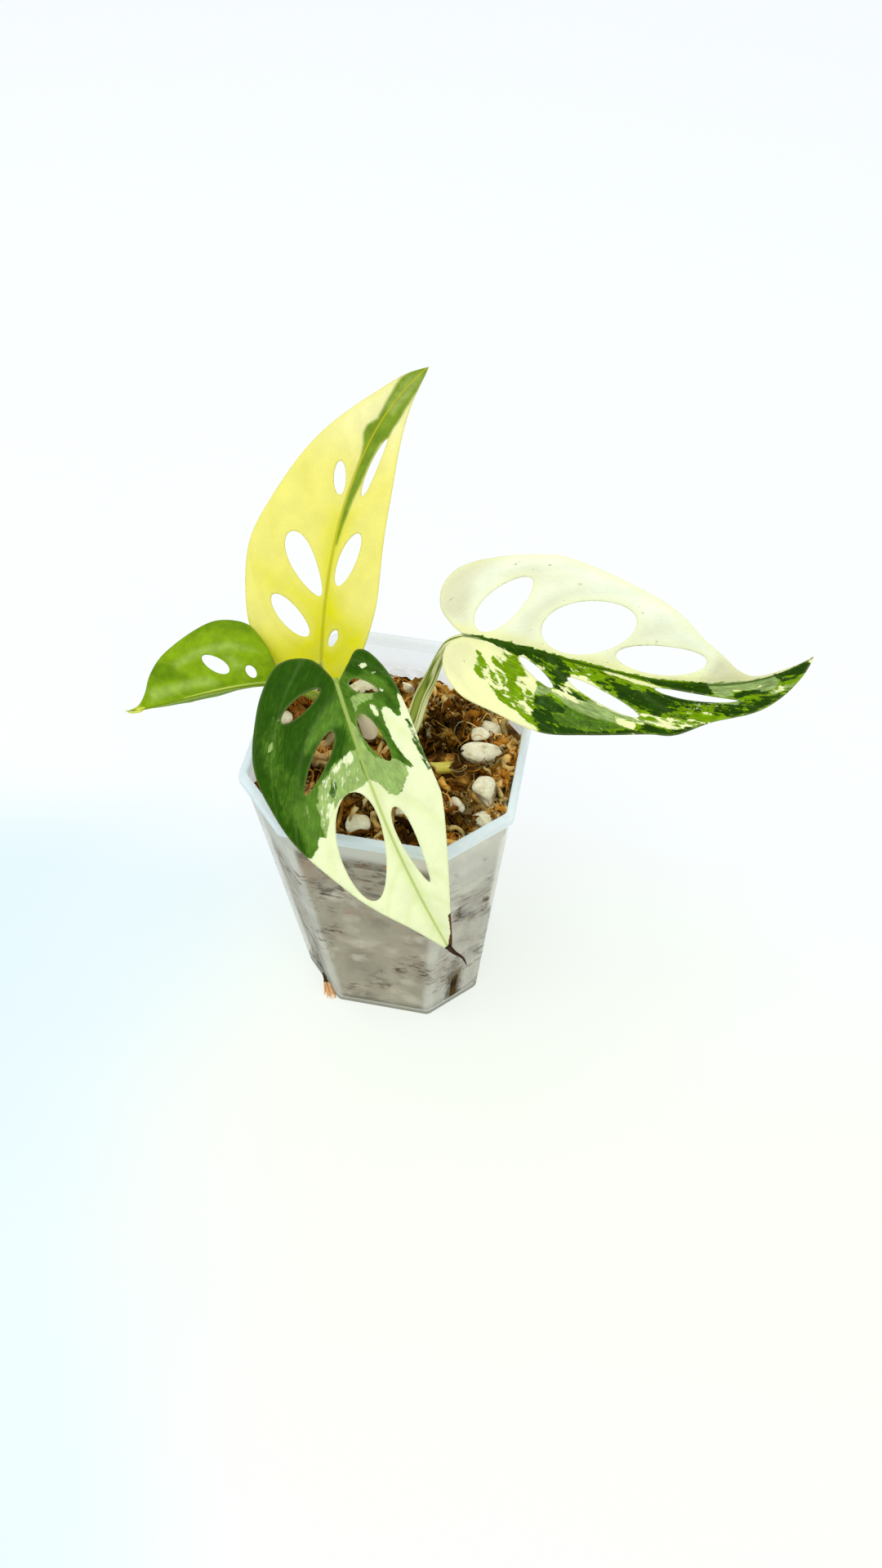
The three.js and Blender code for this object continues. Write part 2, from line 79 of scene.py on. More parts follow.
def smooth_step(low, high, value):
    """0 below low, 1 above high, and the cubic 3t^2 - 2t^3 between."""
    t = np.clip((value - low) / (high - low), 0, 1)
    return t * t * (3 - 2 * t)


def hump(value, middle, width):
    """A bell that is 1 at the middle: exp of minus the square of the distance over the width."""
    return np.exp(-(((value - middle) / width) ** 2))


def even_steps(path, count):
    """The same path with count + 1 points at equal distances along it."""
    gone = np.concatenate([[0], np.cumsum(np.linalg.norm(np.diff(path, axis=0), axis=1))])
    wanted = np.linspace(0, gone[-1], count + 1)
    return np.stack([np.interp(wanted, gone, part) for part in path.T], axis=1)


def path_length(path):
    """The sum of the distances from point to point."""
    return np.linalg.norm(np.diff(path, axis=0), axis=1).sum()


def turns(count):
    """The angles of a full turn in even steps."""
    return np.arange(count) * 2 * np.pi / count


def round_section(around, radius, flat=1.0):
    """[Sideways, upwards] at each angle of a round, flattened by a factor."""
    return np.stack([radius * np.cos(around), flat * radius * np.sin(around)], axis=-1)


def smooth_path(points, spacing, centripetal=True):
    """A Catmull-Rom curve through the points, walked in equal steps.

    Each span is a Hermite cubic whose end speeds come from its neighbours. A centripetal curve gives a
    span the square root of its length as its time and carries its ends straight on. The other kind gives
    each span the same time and doubles its end points."""
    p = np.array(points, float)
    first = 2 * p[0] - p[1] if centripetal else p[0]
    last = 2 * p[-1] - p[-2] if centripetal else p[-1]
    q = np.vstack([first, p, last])
    gaps = np.linalg.norm(np.diff(q, axis=0), axis=1)
    times = (np.sqrt(gaps) if centripetal else np.ones(len(gaps)))[:, None]
    d0, d1, d2 = times[:-2], times[1:-1], times[2:]
    x0, x1, x2, x3 = q[:-3], q[1:-2], q[2:-1], q[3:]
    start = ((x1 - x0) / d0 - (x2 - x0) / (d0 + d1) + (x2 - x1) / d1) * d1
    end = ((x2 - x1) / d1 - (x3 - x1) / (d1 + d2) + (x3 - x2) / d2) * d1
    t = np.linspace(0, 1, 40, endpoint=False)[None, :, None]
    a, b, s, e = (part[:, None, :] for part in (x1, x2, start, end))
    cubic = a * (2 * t**3 - 3 * t**2 + 1) + s * (t**3 - 2 * t**2 + t)
    cubic = cubic + b * (3 * t**2 - 2 * t**3) + e * (t**3 - t**2)
    dense = np.vstack([cubic.reshape(-1, p.shape[1]), p[-1]])
    return even_steps(dense, max(2, round(path_length(dense) / spacing)))


def skin_place(around, walked):
    """A tube's own coordinates at each of its points: a round of radius 1, and the way walked along it."""
    walked = walked * np.ones(len(around))
    across = [np.cos(around) + 0 * walked, np.sin(around) + 0 * walked]
    return np.stack([*across, walked], axis=-1).reshape(-1, 3)


# Turning points and faces into a piece that rides on the body
def new_piece(name, points, faces, looks, replaced=(), facts=None, part=None):
    """A mesh of points and blocks of faces, with the materials it looks like and the nodes it
    replaces. facts are attributes, a value or a vector for each point. part numbers each face's material."""
    mesh = bpy.data.meshes.new(name)
    mesh.from_pydata((points * METRE).tolist(), [], [face for block in faces for face in block.tolist()])
    for key, values in (facts or {}).items():
        kind = ("FLOAT_VECTOR", "vector") if values.ndim == 2 else ("FLOAT", "value")
        layer = mesh.attributes.new(key, kind[0], "POINT")
        layer.data.foreach_set(kind[1], values.astype(np.float32).ravel())
    for look in looks:
        mesh.materials.append(look)
    if part is not None:
        mesh.polygons.foreach_set("material_index", part)
    mesh.polygons.foreach_set("use_smooth", np.ones(len(mesh.polygons), bool))
    mesh.validate()
    piece = bpy.data.objects.new(name, mesh)
    bpy.context.scene.collection.objects.link(piece)
    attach(piece, "root")
    for node in replaced:
        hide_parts(node)
    return piece


def grid_faces(rows, columns, wrap):
    """Quads between neighbouring rows and columns of a grid, numbered row by row. wrap joins the last
    column to the first."""
    r = np.arange(rows - 1)[:, None]
    c = np.arange(columns if wrap else columns - 1)[None, :]
    d = (c + 1) % columns
    quad = [r * columns + c, r * columns + d, (r + 1) * columns + d, (r + 1) * columns + c]
    return np.stack(np.broadcast_arrays(*quad), axis=-1).reshape(-1, 4)


def swept(path, reference, section):
    """A grid of points: at each point of the path a closed section in the plane across it.

    section holds [sideways, upwards] for each point of the path and each step round. Sideways is the
    reference direction made square to the path, and upwards is the path's direction times sideways."""
    ahead = unit(np.gradient(path, axis=-2))
    sideways = unit(reference - (reference * ahead).sum(-1, keepdims=True) * ahead)
    upwards = np.cross(ahead, sideways)
    across = section[..., :1] * sideways[..., None, :]
    return path[..., None, :] + across + section[..., 1:] * upwards[..., None, :]


def tube_faces(rows, columns):
    """The faces of a closed tube: its grid, and one face over each end."""
    low = np.arange(columns)[::-1][None, :]
    high = (rows - 1) * columns + np.arange(columns)[None, :]
    return [grid_faces(rows, columns, True), low, high]


def fan(pole, first, columns, upward):
    """Triangles from a pole to a ring whose points are numbered on from the first."""
    c = first + np.arange(columns)
    d = first + (np.arange(columns) + 1) % columns
    return np.column_stack([np.full(columns, pole), *((c, d) if upward else (d, c))])


def many(faces, copies, points_each):
    """The same faces for a number of copies whose points follow one another."""
    shift = (np.arange(copies) * points_each)[:, None, None]
    return [(block[None] + shift).reshape(-1, block.shape[1]) for block in faces]


# Materials are built from nodes: each method adds some and gives back the output of the last
def paint(colour):
    """A colour of red, green and blue as on a screen, 0 to 255, turned into linear light. The output of a
    node is left as it is."""
    if not isinstance(colour, tuple):
        return colour
    share = np.array(colour) / 255
    linear = np.where(share <= 0.04045, share / 12.92, ((share + 0.055) / 1.055) ** 2.4)
    return (*linear.tolist(), 1.0)


class Look:
    """A material under construction."""

    def __init__(self, name):
        self.material = bpy.data.materials.new(name)
        self.material.use_nodes = True
        self.tree = self.material.node_tree
        self.tree.nodes.clear()

    def node(self, kind, inputs=None, **settings):
        made = self.tree.nodes.new(kind)
        for key, value in settings.items():
            setattr(made, key, value)
        for key, value in (inputs or {}).items():
            if isinstance(value, bpy.types.NodeSocket):
                self.tree.links.new(value, made.inputs[key])
            else:
                made.inputs[key].default_value = value
        return made

    def attribute(self, name, output="Fac"):
        return self.node("ShaderNodeAttribute", attribute_name=name).outputs[output]

    def place(self):
        """Object coordinates in metres."""
        return self.node("ShaderNodeTexCoord").outputs["Object"]

    def parts(self, vector):
        return self.node("ShaderNodeSeparateXYZ", {0: vector}).outputs

    def stretched(self, vector, scale, shift=(0, 0, 0)):
        facts = {"Vector": vector, "Scale": scale, "Location": shift}
        return self.node("ShaderNodeMapping", facts).outputs[0]

    def shifted(self, vector, shift):
        return self.stretched(vector, (1, 1, 1), shift)

    def noise(self, vector, scale, detail=3.0, roughness=0.55, distortion=0.0):
        facts = {"Vector": vector, "Scale": scale, "Detail": detail, "Roughness": roughness}
        facts["Distortion"] = distortion
        return self.node("ShaderNodeTexNoise", facts).outputs["Fac"]

    def cells(self, vector, scale, feature="F1", output="Distance"):
        made = self.node("ShaderNodeTexVoronoi", {"Vector": vector, "Scale": scale}, feature=feature)
        return made.outputs[output]

    def reckon(self, operation, a, b):
        return self.node("ShaderNodeMath", {0: a, 1: b}, operation=operation).outputs[0]

    def sum(self, a, b):
        return self.reckon("ADD", a, b)

    def times(self, a, b):
        return self.reckon("MULTIPLY", a, b)

    def size(self, value):
        """The value without its sign."""
        return self.reckon("ABSOLUTE", value, 0.0)

    def swing(self, value, amount):
        """A value of 0 to 1 made to swing about zero, times an amount."""
        return self.times(self.sum(value, -0.5), amount)

    def step(self, value, low, high, to_low=0.0, to_high=1.0):
        """An S-shaped step from low to high, which may also fall."""
        facts = {"Value": value, "From Min": low, "From Max": high, "To Min": to_low, "To Max": to_high}
        return self.node("ShaderNodeMapRange", facts, interpolation_type="SMOOTHSTEP").outputs[0]

    def blend(self, share, a, b, kind="MIX"):
        facts = {0: share, 6: paint(a), 7: paint(b)}
        return self.node("ShaderNodeMix", facts, data_type="RGBA", blend_type=kind).outputs[2]

    def tinted(self, colour, tint, share=1.0):
        """A colour multiplied by a tint."""
        return self.blend(share, colour, tint, "MULTIPLY")

    def ramp(self, value, stops):
        made = self.node("ShaderNodeValToRGB", {0: value})
        while len(made.color_ramp.elements) < len(stops):
            made.color_ramp.elements.new(0.5)
        for element, (position, colour) in zip(made.color_ramp.elements, stops):
            element.position = position
            element.color = paint(colour)
        return made.outputs[0]

    def bump(self, height, distance, strength=1.0, normal=None):
        facts = {"Height": height, "Distance": distance, "Strength": strength}
        if normal is not None:
            facts["Normal"] = normal
        return self.node("ShaderNodeBump", facts).outputs[0]

    def surface(self, colour, roughness, shine, normal=None):
        facts = {"Base Color": colour, "Roughness": roughness, "Specular IOR Level": shine}
        if normal is not None:
            facts["Normal"] = normal
        return self.node("ShaderNodeBsdfPrincipled", facts).outputs[0]

    def mixed(self, share, first, second):
        return self.node("ShaderNodeMixShader", {0: share, 1: first, 2: second}).outputs[0]

    def lit_through(self, share, skin, colour):
        """A skin that lets a share of the light through in a colour."""
        return self.mixed(share, skin, self.node("ShaderNodeBsdfTranslucent", {"Color": colour}).outputs[0])

    def finish(self, shader):
        self.node("ShaderNodeOutputMaterial", {"Surface": shader})
        return self.material


# The leaves: the midrib is a cubic curve, each half folds up from it by an angle and curls on across its
# width. An edge or hole point is [distance along the midrib, distance across it]. A hole is an egg:
# [along, across, half length, half width, turn in degrees, taper].
LEAVES = {
    "leaf_upright": {
        "midrib": [(-21.5, 10.5, 120), (-24.5, 32, 141.5), (-22, 59.5, 161.5), (-6.5, 87, 164)],
        "facing": [(0.1, -0.6, 0.8), (0.1, -0.6, 0.8)],
        "left": {"fold": (12, 5), "curl": -0.01},
        "right": {"fold": (38, 28), "curl": -0.015},
        "left_edge": [
            (0, 0), (-3.5, 3.5), (-4.3, 8), (-2, 12.5), (4.5, 18), (14, 21.5), (28, 22.8),
            (41, 19.5), (58, 13.5), (75, 6.3), (86, 2.8), (92.7, 0),
        ],
        "right_edge": [
            (0, 0), (-4.5, -2.2), (-6.5, -6), (-3, -10.3), (4, -14), (15, -16.6), (28, -16),
            (44, -14.2), (60, -10.7), (78, -5.2), (87, -2.3), (92.7, 0),
        ],
        "holes": [
            (11.9, 9.2, 7.1, 2.6, 48, 0),
            (25.4, 7, 9.2, 3.2, 36, -0.3),
            (28.4, -5.4, 7.6, 3, -15, 0),
            (6.8, -3.9, 2.5, 1.5, -28, 0),
            (49.9, 3.6, 4.6, 1.6, 18, 0),
            (55.5, -4.9, 9.2, 1.4, 0, 0.2),
        ],
        "petiole": [(-11.2, 5, 109.9), (-13, 5.8, 112.6), (-17.2, 7.4, 116.2)],
        "stalk": (1.8, 1.2),
        "reference": (1, 0, 0.2),
    },
    "leaf_front": {
        "midrib": [(-11.5, -8, 133), (4, -36.5, 127.5), (10, -45.5, 119.5), (27.5, -56.5, 93)],
        "facing": [(0.05, -0.5, 0.8), (0.1, -0.7, 0.7)],
        "left": {"fold": (32, 20), "curl": -0.02},
        "right": {"fold": (5, 12), "curl": -0.018},
        "left_edge": [
            (0, 0), (-2.6, 5), (-4.3, 8.6), (-1.8, 12), (5, 15), (13, 16), (25, 16.2), (34, 16.6),
            (41, 15.8), (57, 10.5), (72.7, 3.1), (77.4, 0),
        ],
        "right_edge": [
            (0, 0), (-4, -1.8), (-7.8, -4.8), (-9.7, -11), (-8.2, -16.2), (-1.8, -22.9), (8, -27),
            (21, -27.2), (36, -23.2), (56, -14), (69, -5.2), (77.4, 0),
        ],
        "holes": [
            (1.6, -10.7, 6.3, 1.9, -73, -0.2),
            (17.2, -10.6, 8.8, 2, -41, 0.2),
            (4, 7, 4.4, 1.4, 52, 0.2),
            (16.8, 5.3, 7.8, 2.3, 17, 0.2),
            (43, -7.7, 15.3, 5.8, -10, 0.1),
            (47.8, 4, 11.5, 2.2, 1, 0.4),
        ],
        "petiole": [(-6.5, 1.6, 103.6), (-7.6, 0, 112), (-10.6, -2, 122), (-13, -4.8, 130.4)],
        "stalk": (1.9, 1.2),
        "reference": (1, 0.3, 0.1),
    },
    "leaf_right": {
        "midrib": [(18.5, 8.5, 140), (46.5, 8.5, 139), (84, -2, 131.5), (106, 17, 141)],
        "facing": [(0, -0.2, 1), (0, -0.1, 1)],
        "left": {"fold": (35, 60), "curl": 0},
        "right": {"fold": (18, 20), "curl": -0.025},
        "left_edge": [
            (0, 0), (-4.2, 2.4), (-8, 6.3), (-8.3, 11.8), (-4.7, 16.8), (4, 20.9), (14, 24),
            (21, 25), (33, 23.6), (47, 20), (54, 16.5), (59.5, 12.2), (65.3, 8), (70, 3.6), (74.5, 1.4),
            (83, 0.9), (90.8, 0),
        ],
        "right_edge": [
            (0, 0), (-3.2, -2.8), (-4.6, -7.5), (-2.8, -13.4), (3, -18.5), (13, -21.1), (25.5, -23),
            (36, -21), (48, -17.6), (54, -16.8), (62, -12.6), (73, -10), (84, -4.4), (90.8, 0),
        ],
        "holes": [
            (8.2, 10, 9.3, 4, 55, 0.2),
            (30, 9.6, 11.8, 6.6, 23, 0.08),
            (49.5, 5.4, 11.6, 3.7, 4, 0),
            (20.4, -6.8, 6.2, 1.5, -36, 0),
            (37, -9.6, 9.6, 2, -22, 0),
            (58.5, -4.7, 10, 1.4, -9, 0.3),
        ],
        "petiole": [
            (1, 4.9, 100.8), (2.4, 5.1, 102.4), (4.2, 6.8, 104.8), (6.5, 10.6, 113), (8.9, 11.7, 119.5),
            (12.2, 10.9, 130), (15, 8.9, 136.6),
        ],
        "stalk": (2.1, 1.2),
        "reference": (0, -1, 0.1),
    },
    "leaf_left": {
        "midrib": [(-30.5, 1.5, 119), (-43.5, -5.5, 124.5), (-59.5, -9, 115), (-72.5, -9.5, 111)],
        "facing": [(0, -1, 0.3), (0, -1, 0.3)],
        "left": {"fold": (-57, -57), "curl": -0.008},
        "right": {"fold": (-35, -35), "curl": -0.008},
        "left_edge": [
            (0, 0), (-1, 3), (0.5, 6.4), (5, 9.4), (12, 11.6), (19, 11.6), (27, 8.8), (34, 4.2),
            (39, 1.4), (45.5, 0),
        ],
        "right_edge": [
            (0, 0), (1, -3), (2.5, -8), (4.2, -12), (6.8, -16.3), (10.5, -18.3), (15.2, -19.1),
            (20.5, -18.1), (26.6, -15.8), (32.3, -12.6), (36.2, -8.4), (38.4, -4), (41, -1.2), (45.5, 0),
        ],
        "holes": [
            (16.6, -7.4, 4.3, 1.8, -42, 0.1),
            (7.7, -3.8, 1.9, 1.2, -62, 0),
        ],
        "petiole": [(-13.1, 5.5, 104.5), (-15.4, 5.5, 106), (-19, 5, 110.6), (-25.5, 3.2, 116)],
        "stalk": (1.6, 1.1),
        "reference": (0, 1, 0.1),
    },
}

# Where each leaf is green, dark green, grey green and so on. A field has its value elsewhere, the width of
# its soft borders, and patches of a value laid one over another, each [value, outline]. In green, deep and
# grey 1 is wholly so, -1 not at all, and a value near 0 is flecked. Dull, ripe and dry are plain shares. On
# the right leaf the ripe share is painted shade: soft darker bands where its pale blade folds.
PATCHES = {
    "leaf_upright": {
        "green": (-1, 1.0, [
            (1, [(32, -0.1), (42, 0), (50, -0.2), (57, 0.4), (61, 1.3), (64, 2.7), (66.5, 2.9),
                (69.8, 1.3), (76, 2), (84, 3.1), (90, 2), (94, 0), (90, -1.8), (84, -3.5), (78, -4.6),
                (70, -5.4), (65, -5.3), (62.5, -3.8), (58, -3.5), (50, -3.2), (42, -2.2), (32, -0.9)]),
        ]),
        "deep": (-1, 1.5, [
            (0.2, [(46, -3.3), (50, -2), (60, -2), (67, 1.5), (68, 0), (66, -4.5), (58, -3.8)]),
        ]),
        "grey": (-1, 1.5, [(0.5, [(72, -3), (73, 1.2), (86, 2), (90, 0), (87, -2), (80, -3.4)])]),
        "ripe_and_fold_shade": (0, 5.0, [
            (1, [(-10, 25), (7, 25), (6, 10), (20, 3), (40, 2), (40, -3), (20, -3), (13, -8), (7, -20),
                (-10, -20)]),
            (0.7, [(12, 4), (18, 16), (23, 19), (20, 8), (16, 2)]),
        ]),
    },
    "leaf_front": {
        "green": (-1, 0.65, [
            (1, [(-12, 0.3), (26, 0.3), (27.3, -1.5), (27.8, -5), (28.6, -8), (31, -10.8), (34, -13.2),
                (37.2, -15), (36.3, -16.4), (39.3, -18.2), (41, -20.6), (36, -27), (10, -31),
                (-13, -31)]),
            (0.42, [(17, -1.6), (25.5, -1.6), (27.5, -6), (30, -11), (36, -15.2), (28, -14), (22, -11.5),
                (19, -7)]),
            (-0.6, [(17, -1.9), (20, -2.1), (20.6, -4.2), (19, -4.6), (17.8, -3.4)]),
            (-0.5, [(18.9, -5.4), (20.5, -5.8), (21.7, -7.8), (20.4, -8)]),
            (-0.3, [(22, -9), (24.4, -10.4), (24, -11.6), (22, -10.4)]),
            (-0.5, [(28, -9.4), (31.2, -10.8), (33.2, -12.9), (31.4, -13), (29, -11.6)]),
            (1, [(-8, 0.3), (-8, 18), (13.4, 18), (13, 16.2), (10.4, 15.7), (9.6, 15), (12, 14.7),
                (14.8, 14.1), (14.6, 13.2), (12.5, 12.4), (11.2, 11), (11.4, 9.9), (14, 9.5), (19, 9.9),
                (24, 11.2), (28.6, 12.9), (28.4, 11.9), (26.5, 10.4), (29.6, 11.1), (31.2, 9.2),
                (33.2, 7.6), (33.6, 5.6), (32.4, 4.2), (30, 3.2), (27.6, 1.6), (26, 0.3)]),
            (-1, [(8.2, 7.3), (9.8, 8.5), (11.8, 9), (12.5, 8.3), (11.5, 7.6), (9.8, 7.2)]),
            (-1, [(-0.9, 7.9), (-0.6, 9.8), (0.2, 10.3), (0.6, 9.9), (0.2, 8.4)]),
            (-0.6, [(2, 10.6), (2.5, 11.8), (3, 11.5), (2.7, 10.6)]),
            (-0.6, [(5.7, 10.2), (7.4, 12), (7.8, 11.6), (6.6, 9.9)]),
            (0.35, [(16, 14.5), (20, 14.6), (31, 15.5), (31, 17), (21, 16.2), (16, 15.8)]),
        ]),
        "deep": (-1, 1.3, [
            (1, [(-13, 0.3), (-13, -31), (22, -31), (44, -22), (41, -20.8), (33, -20.6), (24, -22),
                (16, -21.5), (17, -17), (24, -17), (22, -13), (20.5, -10), (19.5, -6.5), (17.5, -3.4),
                (13, -1.6), (0, -0.6)]),
            (-0.8, [(3, -1.2), (9.4, -1.6), (10, -4.5), (11.5, -9), (14, -13), (11, -12), (7.4, -8),
                (5, -5)]),
            (0.1, [(2, -17.5), (8, -17.5), (14, -20), (12, -24), (5, -23.5)]),
            (0, [(12, -24), (30, -23.4), (24, -20), (14, -19)]),
            (0.2, [(15, -22), (16.5, -16.8), (25, -16.8), (25, -22)]),
            (1, [(-8, 5), (-8, 18), (14, 18), (12, 15), (5, 13), (1.5, 9.5), (0.6, 5), (-1, 3)]),
            (0.4, [(6, 9.5), (12, 12), (14.8, 13.6), (11, 14.6), (7, 12)]),
            (0.3, [(10, 6), (18, 8), (24, 9.2), (28.6, 12.9), (22, 10.8), (13, 9.5)]),
            (0.9, [(23.2, -7.7), (25.4, -8), (27.6, -9.6), (26, -10.3), (23.8, -9.4)]),
            (-0.2, [(0, 0.5), (6, 0.5), (5.6, 3), (4, 4), (1, 3.4)]),
            (1, [(16, 14.5), (20, 14.6), (31, 15.5), (31, 17), (21, 16.2), (16, 15.8)]),
        ]),
        "grey": (-1, 0.8, [
            (1, [(8, 0.3), (26, 0.3), (27.6, 1.6), (30, 3.2), (32.4, 4.2), (33.6, 5.6), (33.2, 7.6),
                (31.2, 9.2), (29.6, 11.1), (26.5, 10.4), (24.6, 9), (22, 4.5), (19, 2.4), (12, 1.6)]),
            (0.7, [(17, -0.5), (28, -0.5), (28.8, -6), (31.6, -11), (37.5, -15.3), (28, -14.4),
                (22, -11.8), (19, -7)]),
            (-0.8, [(19, -8.5), (21, -9), (23, -11.5), (20.5, -11.5)]),
            (-1, [(23.2, -7.7), (25.4, -8), (27.6, -9.6), (26, -10.3), (23.8, -9.4)]),
            (0.1, [(7, -20.4), (9, -20.2), (9.4, -22.2), (7.4, -22.4)]),
            (-0.1, [(1.4, -16.9), (2.8, -16.8), (3, -18.4), (1.6, -18.4)]),
            (0.1, [(31.4, -19.5), (33.8, -19.6), (33.8, -20.4), (31.4, -20.3)]),
            (0.6, [(4.4, 2.5), (4.8, 5.5), (6.4, 9), (8, 9.4), (7.6, 5), (8.5, 2.5)]),
            (-0.3, [(25, -15.6), (31, -17), (35, -19.3), (28, -19)]),
        ]),
        "dull": (0, 1.0, [
            (0.25, [(3, -1), (10, -1.4), (10.4, -4.5), (12, -9), (14, -13), (10.6, -12), (7.4, -8),
                (5, -5)]),
            (0.3, [(25, -14.6), (34, -15.2), (38, -17.4), (38, -19.4), (30, -19.8), (25, -18)]),
        ]),
        "ripe_and_fold_shade": (0, 2.0, [(0.7, [(28, 1.2), (60, 1), (77, 0.6), (77, -0.6), (60, -1), (28, -1.2)])]),
        "dry": (0, 0.3, [
            (1, [(68, 8), (68.6, 4.5), (71, 3.5), (73, 2.6), (74, 1.6), (75.6, 0.3), (76.8, -0.7),
                (79, -0.7), (79, 4), (70, 8)]),
        ]),
    },
    "leaf_right": {
        "green": (-1, 0.55, [
            (-0.42, [(4, -4.2), (5, -9.8), (11, -15.6), (22, -21.2), (26, -22.6), (22.6, -18),
                (22, -14.2), (20, -12), (16.5, -9.5), (19.5, -9), (15, -3.5), (9.5, -5), (6.5, -6.5)]),
            (0.95, [(11.2, -3.2), (13, -4), (15.2, -3.8), (16.2, -6.2), (18.9, -9.2), (16.8, -9.8),
                (16, -10.8), (16.8, -12.4), (18.2, -13), (19.6, -15.4), (19, -16.2), (17.4, -15.6),
                (15.6, -15.4), (14.6, -13.6), (14.4, -11.6), (12.6, -9.8), (12, -6.8), (12.8, -5.6)]),
            (0.85, [(4, -4.2), (5, -5), (6, -6.4), (7, -7.8), (8.4, -9.8), (7.2, -9.9), (5.8, -8.4),
                (4.8, -6.6)]),
            (0.95, [(5, -9.6), (6.6, -10.3), (7.8, -11.6), (8.6, -13), (7.2, -13), (5.8, -11.9),
                (5, -10.8)]),
            (0.95, [(8.8, -5.4), (10, -6.4), (11.8, -7.5), (13.2, -8.9), (12.6, -9.8), (10.8, -8.8),
                (9.2, -7.4)]),
            (0.6, [(8.6, -9.2), (10.4, -10.6), (11.8, -12.6), (13.2, -14.3), (11.6, -14), (9.8, -12.2)]),
            (0.5, [(12.6, -10.4), (13.9, -12), (14.4, -14.2), (13, -13.2), (12, -11.4)]),
            (0.95, [(10.6, -14.6), (12.8, -15.4), (15.4, -17), (17.4, -18.3), (18.6, -19.3), (16.6, -19),
                (13.4, -17.4)]),
            (0.95, [(17.6, -17.5), (20.4, -19), (23, -20), (26, -21.2), (26, -22.2), (22.4, -21.2),
                (19.2, -19.6)]),
            (0.5, [(15, -15.9), (18, -16.8), (20.8, -18), (19.6, -18.5), (16.4, -17.5)]),
            (0.9, [(19.2, -12.8), (20.8, -13.3), (21.5, -14.5), (19.9, -14.4)]),
            (0.9, [(20.3, -15.4), (22, -16), (22.4, -17.6), (20.8, -17)]),
            (1, [(0.8, 0.7), (3, -0.3), (8, -0.9), (11.5, -2.6), (14.6, -4), (16, -2.4), (18, -3.4),
                (20, -6), (23.5, -8.6), (27, -9.4), (28.4, -7.6), (29, -4.6), (31.5, -4.7), (33.4, -4.8),
                (36, -7), (42, -10), (45, -12.4), (52, -12.6), (57, -12.2), (60.5, -12.8), (64, -12.6),
                (72, -12), (80, -9), (92, -4), (92, 0), (88, 0.2), (61, 0.9), (50, 0.7), (30, 0.9)]),
            (-1, [(35.5, -0.3), (40, -0.5), (43, -0.9), (47, -1.6), (50.6, -2.2), (50, -3.1), (46.5, -3),
                (43, -2.4), (39.5, -1.7), (37, -1)]),
            (-0.35, [(27.6, -1.4), (30, -1.2), (30.8, -4.4), (29, -4.8), (28.2, -3.4)]),
            (-0.3, [(20, -4.6), (22.8, -4.9), (22.3, -6.6), (20.2, -6.3)]),
            (-0.2, [(30, -4), (34.2, -4.2), (33.6, -5.4), (30, -5.6)]),
            (0.6, [(25, -0.3), (33, -0.3), (34, -3), (30, -4.6), (26, -3)]),
            (1, [(21.8, -11.2), (25, -11.2), (30, -12.6), (36, -12.9), (40.5, -14.4), (43.6, -16.2),
                (46.2, -17.6), (44, -19.6), (36, -24), (26, -24), (22.8, -19.6), (22.2, -16),
                (21.6, -13.4)]),
            (1, [(21, -10), (25, -8.6), (31, -9.4), (34, -10.8), (37, -12.2), (40.5, -13.3), (44, -13.9),
                (50, -14.2), (49, -15), (44, -15), (41, -14.8), (36, -16), (30, -15), (25, -13.4),
                (22, -11.4)]),
            (-0.8, [(25.6, -10.5), (29, -11), (33.6, -12.8), (31.5, -13.3), (28, -12.5), (25.4, -11.5)]),
            (-0.6, [(26.4, -9.3), (28.6, -9.5), (31.4, -10.8), (29.4, -11), (27, -10.2)]),
            (-0.9, [(41.2, -14.9), (45, -15), (45.6, -17.4), (44, -16.9), (42.4, -16.8), (41, -16)]),
            (1, [(45.4, -15.3), (48, -15), (54, -15.4), (60.5, -13), (63, -15), (50, -19), (46, -18.2)]),
            (0, [(45, -11.6), (50, -12.4), (57, -12.1), (60.5, -13), (54, -14.8), (46, -14.1)]),
            (0.55, [(56, -7.4), (63, -7.6), (64, -9.6), (62, -11.6), (55, -10.6)]),
            (0.3, [(75, -4.7), (82, -4), (83, -4.9), (77, -6)]),
            (-0.1, [(65.5, -2.7), (75, -2.4), (75, -3), (65.5, -3.4)]),
            (-1, [(89, 2), (89, -3), (94, -3), (94, 2)]),
        ]),
        "deep": (-1, 0.8, [
            (0.8, [(0, 0.9), (3, -0.4), (14, -3), (20, -5.5), (25, -5), (29, -3.4), (25, -0.2),
                (25, 0.9)]),
            (0, [(16, -2), (24, -1.5), (28, -9), (23, -8.5), (19, -6)]),
            (1, [(25.6, -4.6), (28.6, -4.6), (28.4, -8), (26, -8.6)]),
            (-0.1, [(25, 0.9), (37, 0.9), (40, -2), (39, -8), (33, -4.5)]),
            (0.9, [(38.6, -4.2), (43, -3.6), (43, -5.2), (47, -4.6), (62, -6.6), (66, -7.4), (60, -8),
                (54, -10.8), (46, -11), (40.6, -9)]),
            (0.2, [(45, -9), (55, -9.5), (58, -12.4), (48, -12.4)]),
            (0.8, [(43, -0.2), (62, 0.9), (62.6, -4.2), (56, -3.2), (50, -1.9)]),
            (0.9, [(22, -14), (25, -13.4), (29.8, -15.2), (29.6, -17.2), (26, -17.2), (22.2, -16)]),
            (0.8, [(22.6, -19), (30, -20.4), (38, -19.6), (44, -17.2), (46.2, -17.6), (44, -19.6),
                (36, -24), (26, -24)]),
            (0, [(52, -7.2), (62, -7.4), (62, -10.8), (52, -9.4)]),
            (0.3, [(62, -7), (82, -5.4), (88, -2), (80, -8), (66, -12), (62, -10.4)]),
            (0.8, [(78.6, 0.9), (92, 0.9), (92, -3), (84, -3.2), (79.6, -2)]),
            (0.8, [(67.4, -3.4), (74.5, -3.2), (76, -5.4), (67.8, -5.6)]),
            (0, [(79.5, -1.8), (84, -2), (84, -3.4), (79.5, -3.6)]),
